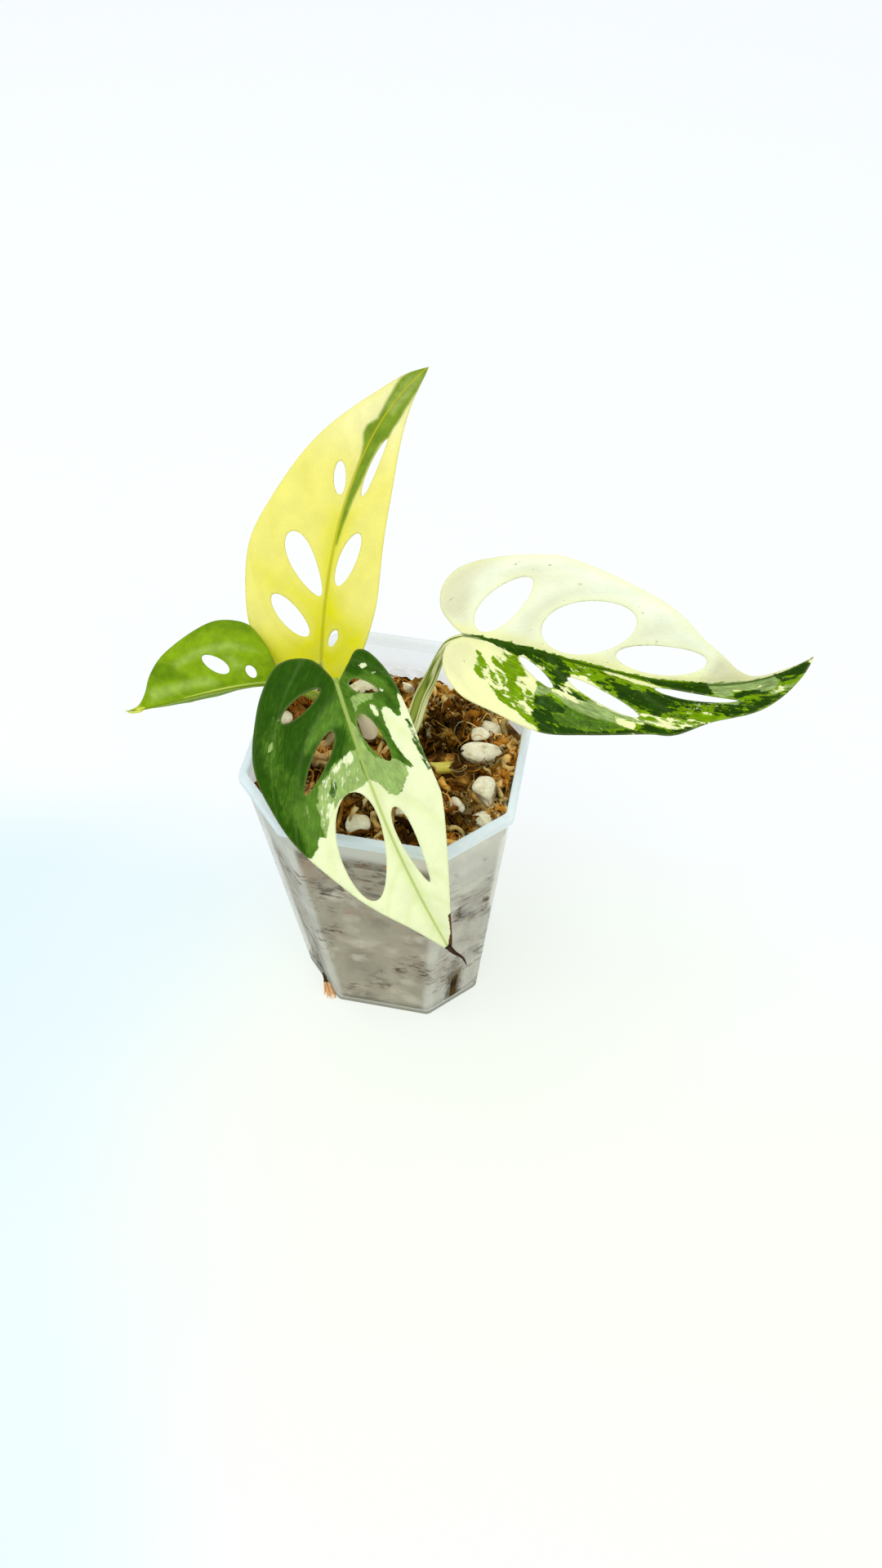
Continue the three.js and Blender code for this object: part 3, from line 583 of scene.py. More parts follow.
            (0.5, [(45.4, -15.3), (48, -15), (54, -15.4), (60.5, -13), (63, -15), (50, -19),
                (46, -18.2)]),
            (0.9, [(25.6, -9.2), (29, -9.4), (34.6, -12.2), (33, -12.6), (28, -11), (25.6, -10.2)]),
            (0.6, [(22.4, -17), (27.4, -17.6), (29, -19.6), (26, -21), (22.6, -20)]),
            (-0.7, [(29, -0.3), (35, -0.4), (36.5, -2.5), (34, -4.6), (30.5, -4.4)]),
        ]),
        "grey": (-1, 0.5, [
            (1, [(21.8, -11.2), (24, -10.6), (27, -11.6), (31, -12.4), (34.5, -11.5), (36.5, -11.9),
                (40.5, -13.3), (44.5, -13.9), (50, -14.1), (49, -14.9), (44, -14.9), (40.8, -15),
                (41, -16.2), (37, -16.4), (33, -15.6), (30, -14.6), (28.4, -13.6), (25.4, -12),
                (23.8, -13.4), (21.7, -13.6)]),
            (1, [(61.4, 1), (79, 0.7), (79.8, -2.6), (77, -4.6), (70, -4.4), (66, -4.9), (63, -3.8)]),
            (-1, [(67.4, -3.3), (74, -3.2), (74.6, -5.4), (67.8, -5.4)]),
            (0.1, [(60, -6.2), (70, -6.4), (68, -7.4), (60, -7.2)]),
            (0.2, [(75, -4.9), (82, -4.5), (83, -5.4), (77, -6.8)]),
        ]),
        "dull": (0, 0.6, [
            (1, [(24, -13.6), (30, -14.8), (34, -16), (40, -16.6), (43.6, -17), (38, -19.6), (31, -20.2),
                (28, -19.4), (27, -17.6), (22.6, -16.4)]),
            (0.3, [(73.5, 1), (80, 0.6), (80, -3), (75, -4.6), (73.5, -3)]),
            (0, [(24.6, -14), (29.8, -15.6), (29.6, -17.3), (26, -17.3), (24, -16)]),
        ]),
        # painted shade: soft darker bands over the pale tissue where the blade folds
        "ripe_and_fold_shade": (0, 3.0, [
            (0.9, [(-11, 3), (-11, 16), (-3, 22), (6, 22), (0, 14), (0, 4)]),
            (0.5, [(6, 17), (14, 21.5), (24, 21), (20, 18), (10, 14)]),
            (0.6, [(14, 2), (14, 9), (19, 15), (26, 19), (19, 10), (17, 3)]),
            (0.5, [(36, 4), (43, 14), (54, 14), (44, 9), (38, 3)]),
            (1, [(61, 0.5), (64, 8), (70, 6), (82, 1.5), (82, 0.3)]),
            (0.5, [(-6, -2), (-6, -12), (2, -14), (3, -3)]),
        ]),
    },
    "leaf_left": {
        "green": (-1, 1.4, [(1, [(-5, 20), (40, 20), (40.5, -3), (38, -25), (-5, -25)])]),
        "deep": (-1, 1.8, [
            (0.7, [(24, -5), (28, -5.5), (36, -6), (38, -9), (34, -12), (30, -12), (27, -8.5)]),
            (0.6, [(6, -13.5), (10, -15), (16, -17), (24, -15.5), (16, -21), (7, -20)]),
            (0.2, [(9, -9.5), (14, -11.5), (20, -12), (18, -13), (10, -12)]),
            (0.3, [(2, -2), (12, -0.5), (30, -0.5), (30, -1.8), (12, -2.2)]),
        ]),
        "grey": (-1, 1.6, [
            (0.6, [(16, -1.8), (27, -2.3), (36, -1.3), (37, -4.8), (28, -4.8), (19, -4.5)]),
            (0.6, [(6, -9), (12, -10.4), (20, -10.6), (27, -8.8), (28, -10.4), (21, -12.6), (12, -12.6)]),
            (0.3, [(9, -5), (12, -9), (14, -9), (12, -5)]),
        ]),
        "ripe_and_fold_shade": (0, 2.0, [(1, [(36, 3), (37, -6), (47, -4), (47, 3)])]),
    },
}

# Screen colours of each leaf
TONES = {
    "leaf_upright": {
        "cream": (235, 231, 128), "green": (128, 156, 42), "deep": (112, 146, 36), "grey": (160, 182, 86),
        "rib": (200, 200, 36), "vein": (228, 224, 100), "ripe_and_fold_shade": (226, 224, 14), "dull": (120, 150, 40),
        "pale": (239, 237, 176), "stalk": [(150, 160, 50), (205, 205, 90), (110, 134, 30)],
    },
    "leaf_front": {
        "cream": (238, 244, 203), "green": (88, 130, 34), "deep": (42, 84, 0), "grey": (160, 188, 108),
        "rib": (190, 212, 112), "vein": (218, 230, 150), "ripe_and_fold_shade": (220, 232, 150), "dull": (104, 144, 58),
        "stalk": [(150, 175, 60), (205, 215, 120), (86, 122, 26)],
    },
    "leaf_right": {
        "cream": (241, 243, 188), "green": (116, 155, 0), "deep": (34, 68, 0), "grey": (152, 175, 108),
        # the ripe tone here is the grey of painted shade in the pale blade's folds
        "rib": (54, 90, 8), "vein": (232, 231, 168), "ripe_and_fold_shade": (222, 221, 183), "dull": (62, 100, 34),
        "pale": (241, 246, 225), "stalk": [(146, 160, 62), (228, 230, 172), (66, 94, 14)],
    },
    "leaf_left": {
        "cream": (212, 220, 92), "green": (136, 172, 16), "deep": (104, 142, 6), "grey": (164, 192, 84),
        "rib": (138, 168, 30), "vein": (158, 186, 62), "ripe_and_fold_shade": (180, 198, 60), "dull": (124, 160, 20),
        "stalk": [(146, 170, 50), (170, 188, 76), (110, 142, 34)],
    },
}

DRY_BROWN = (92, 62, 34)

# How each leaf's colours meet: how far noise frays their borders, how soft they are, how fine the noise is,
# and how soft the dark green's borders are
BORDERS = {
    "leaf_upright": (0.12, 0.5, 1.0, 0.6),
    "leaf_front": (0.75, 0.14, 1.15, 0.7),
    "leaf_right": (1.15, 0.05, 1.3, 0.14),
    "leaf_left": (0.2, 0.6, 1.0, 0.7),
}


def rib_curve(leaf, share):
    """The midrib's cubic curve and its speed, both carried on straight past its ends."""
    a, b, c, d = (np.array(p, float) for p in leaf["midrib"])
    t = np.clip(share, 0, 1)[:, None]
    s = 1 - t
    place = s**3 * a + 3 * s * s * t * b + 3 * s * t * t * c + t**3 * d
    speed = 3 * s * s * (b - a) + 6 * s * t * (c - b) + 3 * t * t * (d - c)
    return place + speed * (share[:, None] - t), speed


def rib_length(leaf):
    """The length of the midrib, walked in 200 steps."""
    return path_length(rib_curve(leaf, np.linspace(0, 1, 201))[0])


def leaf_surface(leaf, along, across, lift):
    """Points of a blade, lifted off it along its normal.

    A point goes along the midrib, then sideways on an arc that starts at the fold's angle and turns by the
    curl for each millimetre. Near the midrib the normal leans back to straight up, so that the two halves
    meet in a rounded crease."""
    share = along / rib_length(leaf)
    held = np.clip(share, 0, 1)
    place, speed = rib_curve(leaf, share)
    ahead = unit(speed)
    face_from, face_to = (np.array(v, float) for v in leaf["facing"])
    up = mix(face_from, face_to, held[:, None])
    up = unit(up - (up * ahead).sum(1, keepdims=True) * ahead)
    side = np.cross(up, ahead)
    left = across > 0
    fold = [np.where(left, leaf["left"]["fold"][k], leaf["right"]["fold"][k]) for k in (0, 1)]
    angle = np.radians(mix(fold[0], fold[1], held))
    bend = np.where(left, leaf["left"]["curl"] or 1e-6, leaf["right"]["curl"] or 1e-6)
    out = np.abs(across)
    turned = angle + bend * out
    reach = np.sign(across) * (np.sin(turned) - np.sin(angle)) / bend
    rise = (np.cos(angle) - np.cos(turned)) / bend
    lean = turned * smooth_step(0, 1.4, out)
    sideways = reach - np.sign(across) * lift * np.sin(lean)
    return place + side * sideways[:, None] + up * (rise + lift * np.cos(lean))[:, None]


def inside(points, outline):
    """Even-odd rule: True where a ray to the right crosses the outline an odd number of times."""
    x, y = points[:, :1], points[:, 1:]
    ax, ay = outline.T
    bx, by = np.roll(outline, -1, axis=0).T
    spans = (ay > y) != (by > y)
    crossing = ax + (y - ay) * (bx - ax) / np.where(by == ay, 1, by - ay)
    return (spans & (crossing > x)).sum(axis=1) % 2 == 1


def distance_to(points, outline):
    """The distance from each point to the nearest side of a closed outline."""
    along = np.roll(outline, -1, axis=0) - outline
    squares = np.maximum((along**2).sum(1), 1e-12)
    nearest = np.full(len(points), np.inf)
    for start, step, square in zip(outline, along, squares):
        away = points - start
        share = np.clip(away @ step / square, 0, 1)
        nearest = np.minimum(nearest, np.hypot(*(away - share[:, None] * step).T))
    return nearest


def egg_outline(hole):
    """An oval that narrows along its length by its taper, turned and moved into place."""
    along, across, long, wide, turn, taper = hole
    angle = turns(max(24, round(4 * (long + wide) / MARGIN_STEP)))
    x = long * np.cos(angle)
    y = wide * (1 - taper * np.cos(angle)) * np.sin(angle)
    c, s = math.cos(math.radians(turn)), math.sin(math.radians(turn))
    return np.stack([along + c * x - s * y, across + s * x + c * y], axis=1)


def flat_blade(leaf):
    """A blade laid flat: its points, its triangles and how far each point lies from the nearest margin.

    The margin, the holes and the midrib are kept as edges. Between them lies a lattice of even triangles."""
    length = rib_length(leaf)
    left = smooth_path(leaf["left_edge"], MARGIN_STEP, False)
    right = smooth_path(leaf["right_edge"], MARGIN_STEP, False)
    left[-1] = right[-1] = (length, 0)
    outline = np.vstack([left, right[-2:0:-1]])
    rib = np.stack([np.linspace(0, length, round(length / MARGIN_STEP) + 1)[1:-1]] * 2, axis=1) * (1, 0)
    loops = [outline] + [egg_outline(hole) for hole in leaf["holes"]]
    low, high = outline.min(0), outline.max(0)
    rows = np.arange(low[1], high[1], LATTICE * math.sqrt(3) / 2)
    columns = np.arange(low[0], high[0], LATTICE)
    x, y = np.meshgrid(columns, rows)
    x[1::2] += LATTICE / 2
    lattice = np.stack([x.ravel(), y.ravel()], axis=1)
    lattice = lattice[np.abs(lattice[:, 1]) > LATTICE / 2]
    lattice = lattice[inside(lattice, outline)]
    for loop in loops[1:]:
        lattice = lattice[~inside(lattice, loop)]
    clear = np.min([distance_to(lattice, loop) for loop in loops], axis=0)
    lattice = lattice[clear > LATTICE / 2]
    edges, first = [], 0
    for loop in loops:
        edges += [(first + k, first + (k + 1) % len(loop)) for k in range(len(loop))]
        first += len(loop)
    spine = [0, *range(first, first + len(rib)), len(left) - 1]
    edges += list(zip(spine, spine[1:]))
    points = np.vstack([*loops, rib, lattice])
    made = delaunay_2d_cdt(points.tolist(), edges, [], 0, 1e-5, False)
    flat = np.array([tuple(p) for p in made[0]])
    triangles = np.array([t for t in made[2]])
    middles = flat[triangles].mean(axis=1)
    keep = inside(middles, outline)
    for loop in loops[1:]:
        keep &= ~inside(middles, loop)
    triangles = triangles[keep]
    margin = np.min([distance_to(flat, loop) for loop in loops], axis=0)
    return flat, triangles, margin


def rim_edges(triangles):
    """The directed edges that only one triangle has."""
    directed = np.vstack([triangles[:, [0, 1]], triangles[:, [1, 2]], triangles[:, [2, 0]]])
    count = directed.max() + 1
    own = directed[:, 0] * count + directed[:, 1]
    other = directed[:, 1] * count + directed[:, 0]
    return directed[~np.isin(own, other)]


def vein_start(leaf, flat):
    """Where on the midrib the side vein through a point leaves it. Veins leave at a slant and arch on
    towards the tip, the more so the nearer they are to it."""
    along, out = flat[:, 0], np.abs(flat[:, 1])
    share = np.clip(along / rib_length(leaf), 0, 1)
    return along - 0.5 * out - (0.35 + 1.2 * share) * out**2 / 20


def vein_phase(leaf, flat):
    """The number of the vein through a point, halves lying midway between two veins. A vein runs midway
    between neighbouring holes of its half of the blade."""
    start = vein_start(leaf, flat)
    phase = np.zeros(len(flat))
    for side in (1, -1):
        middles = np.array([hole[:2] for hole in leaf["holes"] if hole[1] * side > 0])
        starts = np.sort(vein_start(leaf, middles)) if len(middles) else np.array([0, 12])
        halfway = (starts[1:] + starts[:-1]) / 2
        veins = np.concatenate([starts[:1] - [6.5], halfway, starts[-1:] + 7])
        veins = np.concatenate([veins[0] - 9 * np.arange(3, 0, -1), veins, veins[-1] + 9 * np.arange(1, 9)])
        own = flat[:, 1] * side > 0
        phase[own] = np.interp(start[own], veins, np.arange(len(veins)))
    return phase


def quilting(leaf, flat, margin, phase):
    """How far the blade's two faces rise together: a swell between side veins, a furrow on each vein, a
    narrow ridge on the midrib with a furrow on both sides, and a slow wave along the margin."""
    out = np.abs(flat[:, 1])
    off_vein = np.abs(phase - np.round(phase))
    swell = 0.3 * np.sin(np.pi * np.clip(off_vein * 2, 0, 1) / 2) ** 2
    furrow = -0.08 * hump(off_vein, 0, 0.1)
    fade = smooth_step(0.3, 3, margin) * smooth_step(0.4, 4, out)
    ridge = 0.12 * hump(out, 0, 0.4) - 0.06 * hump(out, 1.2, 0.6)
    wave = 0.35 * np.sin(flat[:, 0] * 0.23 + np.sign(flat[:, 1])) * (out / 20) ** 2
    return (swell + furrow) * fade + ridge + wave


def streak_line(flat):
    """The number of the colour streak through a point. Streaks lean on towards the tip, by 1.3 + 0.07 of the
    distance along the midrib for each millimetre across, so the number is a logarithm along less the
    distance across."""
    slant = 0.07
    lean = np.maximum(1.3 + slant * flat[:, 0], 0.3)
    return np.log(lean) / slant - np.abs(flat[:, 1])


def painted(flat, field):
    """Lays patches of a value over a field, one over another, each with a soft border."""
    start, border, patches = field
    values = np.full(len(flat), float(start))
    for value, outline in patches:
        outline = np.array(outline, float)
        depth = distance_to(flat, outline) * np.where(inside(flat, outline), 1, -1)
        values = mix(values, value, smooth_step(-border, border, depth))
    return values


def blade_look(name):
    """Cream tissue with green, dark green and grey green over it. The borders between them are frayed by a
    noise and by long cells that run along the colour streaks. Light comes through the blade."""
    look = Look(name + "_blade")
    tones = TONES[name]
    fray_size, crisp, fine, deep_soft = BORDERS[name]
    flow = look.attribute("flow", "Vector")
    spot = look.attribute("spot", "Vector")
    green, deep, grey = look.parts(look.attribute("tint", "Vector"))[:3]
    dull, ripe_and_fold_shade, dry = look.parts(look.attribute("shade", "Vector"))[:3]

    def fray(shift):
        """Noise about zero: soft streaks, long cells of one value each, and fine grain."""
        at = look.stretched(flow, (fine, 0.36 * fine, 1), shift)
        streak = look.swing(look.noise(at, 0.8, 4.0, 0.62, 0.3), 1.5)
        cell = look.swing(look.cells(at, 1.1, output="Color"), 0.7)
        grain = look.swing(look.noise(at, 3.2, 2.0), 0.7)
        return look.times(look.sum(look.sum(streak, cell), grain), fray_size)

    def mask(field, noise, width):
        """1 where a field and its noise lie above zero."""
        return look.step(look.sum(look.times(field, 0.6), noise), -width, width)

    soft = look.swing(look.noise(spot, 0.45, 3.0), 1.4)
    cloud = look.noise(spot, 0.2, 4.0)
    off_vein = look.reckon("PINGPONG", look.attribute("vein"), 0.5)
    band = look.step(off_vein, 0.0, 0.2, 0.25, 0.0)
    tissue = look.blend(band, tones["cream"], tones["vein"])
    if "pale" in tones:
        tissue = look.blend(look.attribute("pale"), tissue, tones["pale"])
    # the ripe tone, which on the right leaf is painted shade in the folds of its pale tissue
    tissue = look.blend(look.times(ripe_and_fold_shade, look.step(cloud, 0.3, 0.7, 0.75, 1.0)), tissue, tones["ripe_and_fold_shade"])
    tissue = look.tinted(tissue, look.step(cloud, 0.3, 0.7, 0.965, 1.02))
    edge = look.step(look.attribute("margin"), 0.0, 2.6, 0.35, 0.0)
    tissue = look.blend(edge, tissue, tones["cream"])

    deep_noise = look.sum(fray((17, 5, 0)), look.times(soft, 0.5))
    leafy = look.blend(mask(deep, deep_noise, deep_soft), tones["green"], tones["deep"])
    leafy = look.blend(look.times(mask(grey, fray((5, 9, 0)), crisp), 0.92), leafy, tones["grey"])
    speckle = look.step(look.noise(spot, 1.6, 3.0, 0.6), 0.42, 0.6, 0.9, 0.55)
    leafy = look.blend(look.times(dull, speckle), leafy, tones["dull"])
    streaks = look.noise(look.stretched(flow, (2.4, 0.32, 1), (3, 1, 0)), 1.0, 3.0, 0.6)
    leafy = look.tinted(leafy, look.step(streaks, 0.3, 0.7, 1 - 0.24 * fray_size**2, 1 + 0.3 * fray_size**2))
    leafy = look.tinted(leafy, look.step(look.noise(spot, 0.3, 5.0, 0.65), 0.3, 0.7, 0.86, 1.16))
    leafy = look.blend(look.step(off_vein, 0.0, 0.1, 0.07, 0.0), leafy, tones["grey"])

    covered = mask(green, fray((0, 0, 0)), crisp)
    colour = look.blend(covered, tissue, leafy)
    colour = look.blend(look.step(look.attribute("rib"), 0.4, 1.7, 0.8, 0.0), colour, tones["rib"])
    colour = look.blend(look.step(look.attribute("margin"), 0.0, 0.6, 0.12, 0.0), colour, tones["vein"])
    colour = look.blend(look.step(dry, 0.35, 0.65), colour, DRY_BROWN)
    below = look.times(look.step(look.attribute("upper"), 0.0, 1.0, 0.35, 0.0), covered)
    colour = look.blend(below, colour, tones["grey"])

    pores = look.noise(spot, 3.2, 3.0, 0.6)
    netting = look.cells(look.stretched(flow, (0.9, 0.6, 1)), 1.0, "DISTANCE_TO_EDGE")
    normal = look.bump(look.step(netting, 0.0, 0.18), 0.00008, 0.4)
    normal = look.bump(pores, 0.00005, 0.5, normal)
    skin = look.surface(colour, look.step(pores, 0.2, 0.8, 0.38, 0.55), 0.06, normal)
    return look.finish(look.lit_through(0.3, skin, look.tinted(colour, colour, 0.4)))


def blade(name, leaf):
    """Both faces of the blade and the rim that closes them. It thins out towards its margins."""
    flat, triangles, margin = flat_blade(leaf)
    phase = vein_phase(leaf, flat)
    middle = quilting(leaf, flat, margin, phase)
    half = BLADE_THICKNESS / 2 * mix(0.35, 1, np.sqrt(smooth_step(-0.3, 1.2, margin)))
    upper = leaf_surface(leaf, flat[:, 0], flat[:, 1], middle + half)
    lower = leaf_surface(leaf, flat[:, 0], flat[:, 1], middle - half)
    count = len(flat)
    corner = flat[triangles]
    turn = np.cross(corner[:, 1] - corner[:, 0], corner[:, 2] - corner[:, 0])
    triangles = np.where((turn > 0)[:, None], triangles, triangles[:, ::-1])
    rim = rim_edges(triangles)
    rim_quads = np.stack([rim[:, 1], rim[:, 0], rim[:, 0] + count, rim[:, 1] + count], axis=1)
    faces = [triangles, triangles[:, ::-1] + count, rim_quads]
    share = np.clip(flat[:, 0] / rib_length(leaf), 0, 1)
    side = np.sign(flat[:, 1])
    pale_half, pale_tip = smooth_step(1, 5, flat[:, 1]), smooth_step(48, 72, flat[:, 0])
    absent = (0, 1.0, [])

    def fields(*keys):
        return np.stack([painted(flat, PATCHES[name].get(key, absent)) for key in keys], axis=1)

    facts = {
        "tint": fields("green", "deep", "grey"),
        "shade": fields("dull", "ripe_and_fold_shade", "dry"),
        "flow": np.stack([streak_line(flat), flat[:, 0], 40 * side], axis=1),
        "spot": np.stack([flat[:, 0], flat[:, 1], 0 * side], axis=1),
        "vein": phase,
        "rib": np.abs(flat[:, 1]) / mix(0.5, 0.22, share),
        "pale": pale_half if name == "leaf_right" else pale_tip,
        "margin": margin,
    }
    facts = {key: np.concatenate([value, value]) for key, value in facts.items()}
    facts["upper"] = np.repeat([1.0, 0.0], count)
    points = np.vstack([upper, lower])
    new_piece(name + "_blade", points, faces, [blade_look(name)], [name], facts)


# How far up a stalk its old sheath reaches, in mm, and the sheath's colour, where it isn't short and pale
SHEATHS = {"leaf_front": (12, (236, 220, 196)), "leaf_left": (13, (112, 62, 26))}
SHORT_SHEATH = (4, (202, 184, 158))


def stalk_look(name):
    """A stalk striped lengthwise in three tones, with fine ridges, and a papery sheath at its foot."""
    look = Look(name + "_stalk")
    base, light, dark = TONES[name]["stalk"]
    skin = look.attribute("skin", "Vector")
    stripes = look.noise(look.stretched(skin, (1.5, 1.5, 0.022)), 1.0, 2.0, 0.5)
    places = (0.32, 0.38, 0.42, 0.46, 0.49, 0.56, 0.6, 0.64, 0.69)
    bands = (light, base, dark, base, light, light, base, dark, base)
    colour = look.ramp(stripes, list(zip(places, bands)))
    fine = look.noise(look.stretched(skin, (7, 7, 0.05)), 1.0, 2.0)
    colour = look.blend(look.step(fine, 0.35, 0.65, 0.0, 0.2), colour, base)
    reach, sheath = SHEATHS.get(name, SHORT_SHEATH)
    walked = look.sum(look.parts(skin)[2], look.times(fine, 6.0))
    colour = look.blend(look.step(walked, reach, reach + 5.0, 0.85, 0.0), colour, sheath)
    return look.finish(look.surface(colour, 0.42, 0.25, look.bump(fine, 0.00012, 0.6)))


def stalk(name, leaf):
    """The petiole, which runs on under the blade as its midrib.

    Its section is round, with a channel above and two thin wings along the lower stretch. It swells a little
    at its foot and where it bends into the blade. Under the blade it is a bar that thins to the tip."""
    foot, neck = leaf["stalk"]
    bar_start, bar_end = neck * 0.9, 0.4
    length = rib_length(leaf)
    share = mix(0.01, 0.965, np.linspace(0, 1, 13))
    bar = mix(bar_start, bar_end, np.linspace(0, 1, 13))
    under = leaf_surface(leaf, share * length, np.zeros(13), 0.15 - bar)
    path = smooth_path(np.vstack([leaf["petiole"], under]), 0.9)
    gone = np.linspace(0, 1, len(path))
    free = 1 - 0.955 * length / path_length(path)
    up_stalk = np.clip(gone / free, 0, 1)
    in_blade = np.clip((gone - free) / (1 - free), 0, 1)
    radius = np.where(gone < free, mix(foot, neck, up_stalk), mix(bar_start, bar_end, in_blade))
    radius = radius * (1 + 0.1 * hump(up_stalk, 0.93, 0.06) * (in_blade == 0))
    radius = radius * (1 + 0.16 * (1 - smooth_step(0, 0.7, up_stalk)))
    radius = radius * mix(1, 0.35, smooth_step(0.9, 1, in_blade))
    sides = 20
    around = turns(sides)
    sheath = (1 - smooth_step(0.35, 0.75, up_stalk))[:, None]
    petiole_only = (1 - smooth_step(0, 0.03, in_blade))[:, None]
    wings = 0.45 * sheath * (hump(around, 0.9, 0.3) + hump(around, np.pi - 0.9, 0.3))
    channel = 0.22 * petiole_only * hump(around, np.pi / 2, 0.4)
    section = round_section(around, radius[:, None] * (1 + wings - channel))
    points = swept(path, np.array(leaf["reference"], float), section)
    facts = {"skin": skin_place(around, gone[:, None] * path_length(path))}
    faces = tube_faces(len(path), sides)
    new_piece(name + "_stalk", points.reshape(-1, 3), faces, [stalk_look(name)], [name], facts)


# The drawn-out ends of three leaves: a dry brown thread, a yellow hook and a pale spike, each with its half
# width, the share of it that narrows back to the blade, and its two tones
TAILS = {
    "leaf_front": {
        "path": [(26.4, -56.1, 94.9), (28.2, -56.3, 92.8), (30.4, -56.4, 91.0), (31.6, -56.5, 87.6)],
        "wide": 0.95, "start": 0, "tones": [(22, 10, 4), (60, 34, 14)],
    },
    "leaf_left": {
        "path": [(-66.6, -9.1, 113.6), (-69.6, -9.5, 111.5), (-71.3, -9.8, 111.2), (-72.2, -9.7, 112.3)],
        "wide": 1.0, "start": 0.4, "tones": [(180, 194, 40), (222, 226, 110)],
    },
    "leaf_right": {
        "path": [(103.2, 14.4, 139.6), (104.6, 15.8, 140.5), (105.6, 16.8, 141.3)],
        "wide": 0.45, "start": 0, "tones": [(190, 196, 120), (228, 230, 170)],
    },
}


def leaf_tails():
    """The drawn-out ends of three leaves. Each is a flattened tube whose width falls away with a power of
    the distance along it, and grows first where it has a narrow start."""
    around = turns(10)
    for name, tail in TAILS.items():
        path = smooth_path(tail["path"], 0.2)
        share = np.linspace(0, 1, len(path))
        radius = (tail["wide"] * (1 - share) ** 1.2 + 0.1)[:, None]
        if tail["start"]:
            radius = radius * smooth_step(-0.15, tail["start"], share)[:, None]
        tube = swept(path, np.array([0.3, 0.2, 1.0]), round_section(around, radius, 0.4))
        look = Look(name + "_tail")
        colour = look.ramp(look.noise(look.place(), 900.0), list(zip((0.35, 0.7), tail["tones"])))
        relief = look.bump(look.noise(look.place(), 2500.0), 0.00005)
        skin = look.finish(look.surface(colour, 0.6, 0.15, relief))
        new_piece(name + "_tail", tube.reshape(-1, 3), tube_faces(len(path), 10), [skin])


# The pot: an eight-sided tapered cup with rounded corners, a thick lip, slots low in its cut corners and
# drain holes in its floor. Its points lie at shares of each flat and of each cut corner, at shares of the
# way from the floor's middle to its edge, and at heights up the wall.
CORNER_ROUND = 1.1
CORNER_POINTS = 5
FLAT_SHARES = (0.04, 0.11, 0.22, 0.36, 0.43, 0.5, 0.57, 0.64, 0.78, 0.89, 0.96)
CUT_SHARES = (0.13, 0.26, 0.74, 0.87)
FLOOR_SHARES = (0.06, 0.2, 0.35, 0.509, 0.6, 0.684, 0.8, 0.9, 0.97)
DRAIN_ROWS = (3, 6)  # the floor rows that a drain hole takes
WALL_HEIGHTS = (0.35, 1.2, 2, SLOT_LOW, 5, 8, 11, 14, 17, 18.5, SLOT_HIGH, 21.5)

# The lip's outer and inner face, as [height, inset from the outermost point]
LIP_DEPTH = LIP_OUT + POT_WALL + LIP_IN
LIP_OUTER = [(103.6, 0.62), (103.9, 0.2), (104.3, 0.02), (105, 0), (106.2, 0), (106.75, 0.14), (107, 0.5)]
LIP_INNER = [(107, LIP_DEPTH - 0.5), (106.75, LIP_DEPTH - 0.14), (106.2, LIP_DEPTH), (104.4, LIP_DEPTH)]


def pot_ring(half, corner, height, share=1.0):
    """An eight-sided outline with rounded corners, counter-clockwise from the front flat's left end.

    Each corner is a quadratic arc that starts and ends a little way off it, with one more point beyond
    each end that keeps the flats flat. A cut corner has columns at its slot's sides."""
    near = half - corner
    corners = [(-near, -half), (near, -half), (half, -near), (half, near)]
    corners = np.array(corners + [(-x, -y) for x, y in corners])
    slot = SLOT_HALF * np.array([-1, -0.5, 0, 0.5, 1])
    arc = np.linspace(0, 1, CORNER_POINTS)[:, None]
    ring = []
    for number, at in enumerate(corners):
        before, to = corners[number - 1], corners[(number + 1) % 8]
        start, end = at + unit(before - at) * CORNER_ROUND, at + unit(to - at) * CORNER_ROUND
        ring.append((1 - arc) ** 2 * start + 2 * arc * (1 - arc) * at + arc**2 * end)
        middle = 0.5 + slot / np.linalg.norm(to - at)
        shares = CUT_SHARES[:2] + tuple(middle) + CUT_SHARES[2:] if number % 2 else FLAT_SHARES
        ring.append(at + np.array(shares)[:, None] * (to - at))
    flat = np.vstack(ring) * share
    return np.column_stack([flat, np.full(len(flat), height)])


def wall_size(height):
    """The tapered wall's half width and cut corner at a height."""
    t = height / POT_HEIGHT
    return mix(POT_BASE[0], POT_TOP[0] - LIP_OUT, t), mix(POT_BASE[1], POT_TOP[1], t)


def wall_ring(height, inset, share=1.0, lifted=None):
    """The wall's outline at a height, drawn in by an inset that keeps the wall even."""
    half, corner = wall_size(height)
    corner = corner - inset * (2 - math.sqrt(2))
    return pot_ring(half - inset, corner, height if lifted is None else lifted, share)


def pot_sheet(floor, inset):
    """One face of the cup from the middle of its floor up to its lip, as rows of outlines."""
    floor_rows = [wall_ring(0, inset, share, floor) for share in FLOOR_SHARES]
    heights = [*WALL_HEIGHTS, *np.linspace(26, 100, 16), 102.5]
    return np.array(floor_rows + [wall_ring(z + floor * (z < 2), inset) for z in heights])


def lip_rows():
    """The lip from the outer face over its rounded top and down to the inner face."""
    half, corner = POT_TOP
    outer = [pot_ring(half - inset, corner, height) for height, inset in LIP_OUTER]
    inner = [pot_ring(half - inset, corner - inset * 0.3, height) for height, inset in LIP_INNER]
    return np.array(outer + inner)


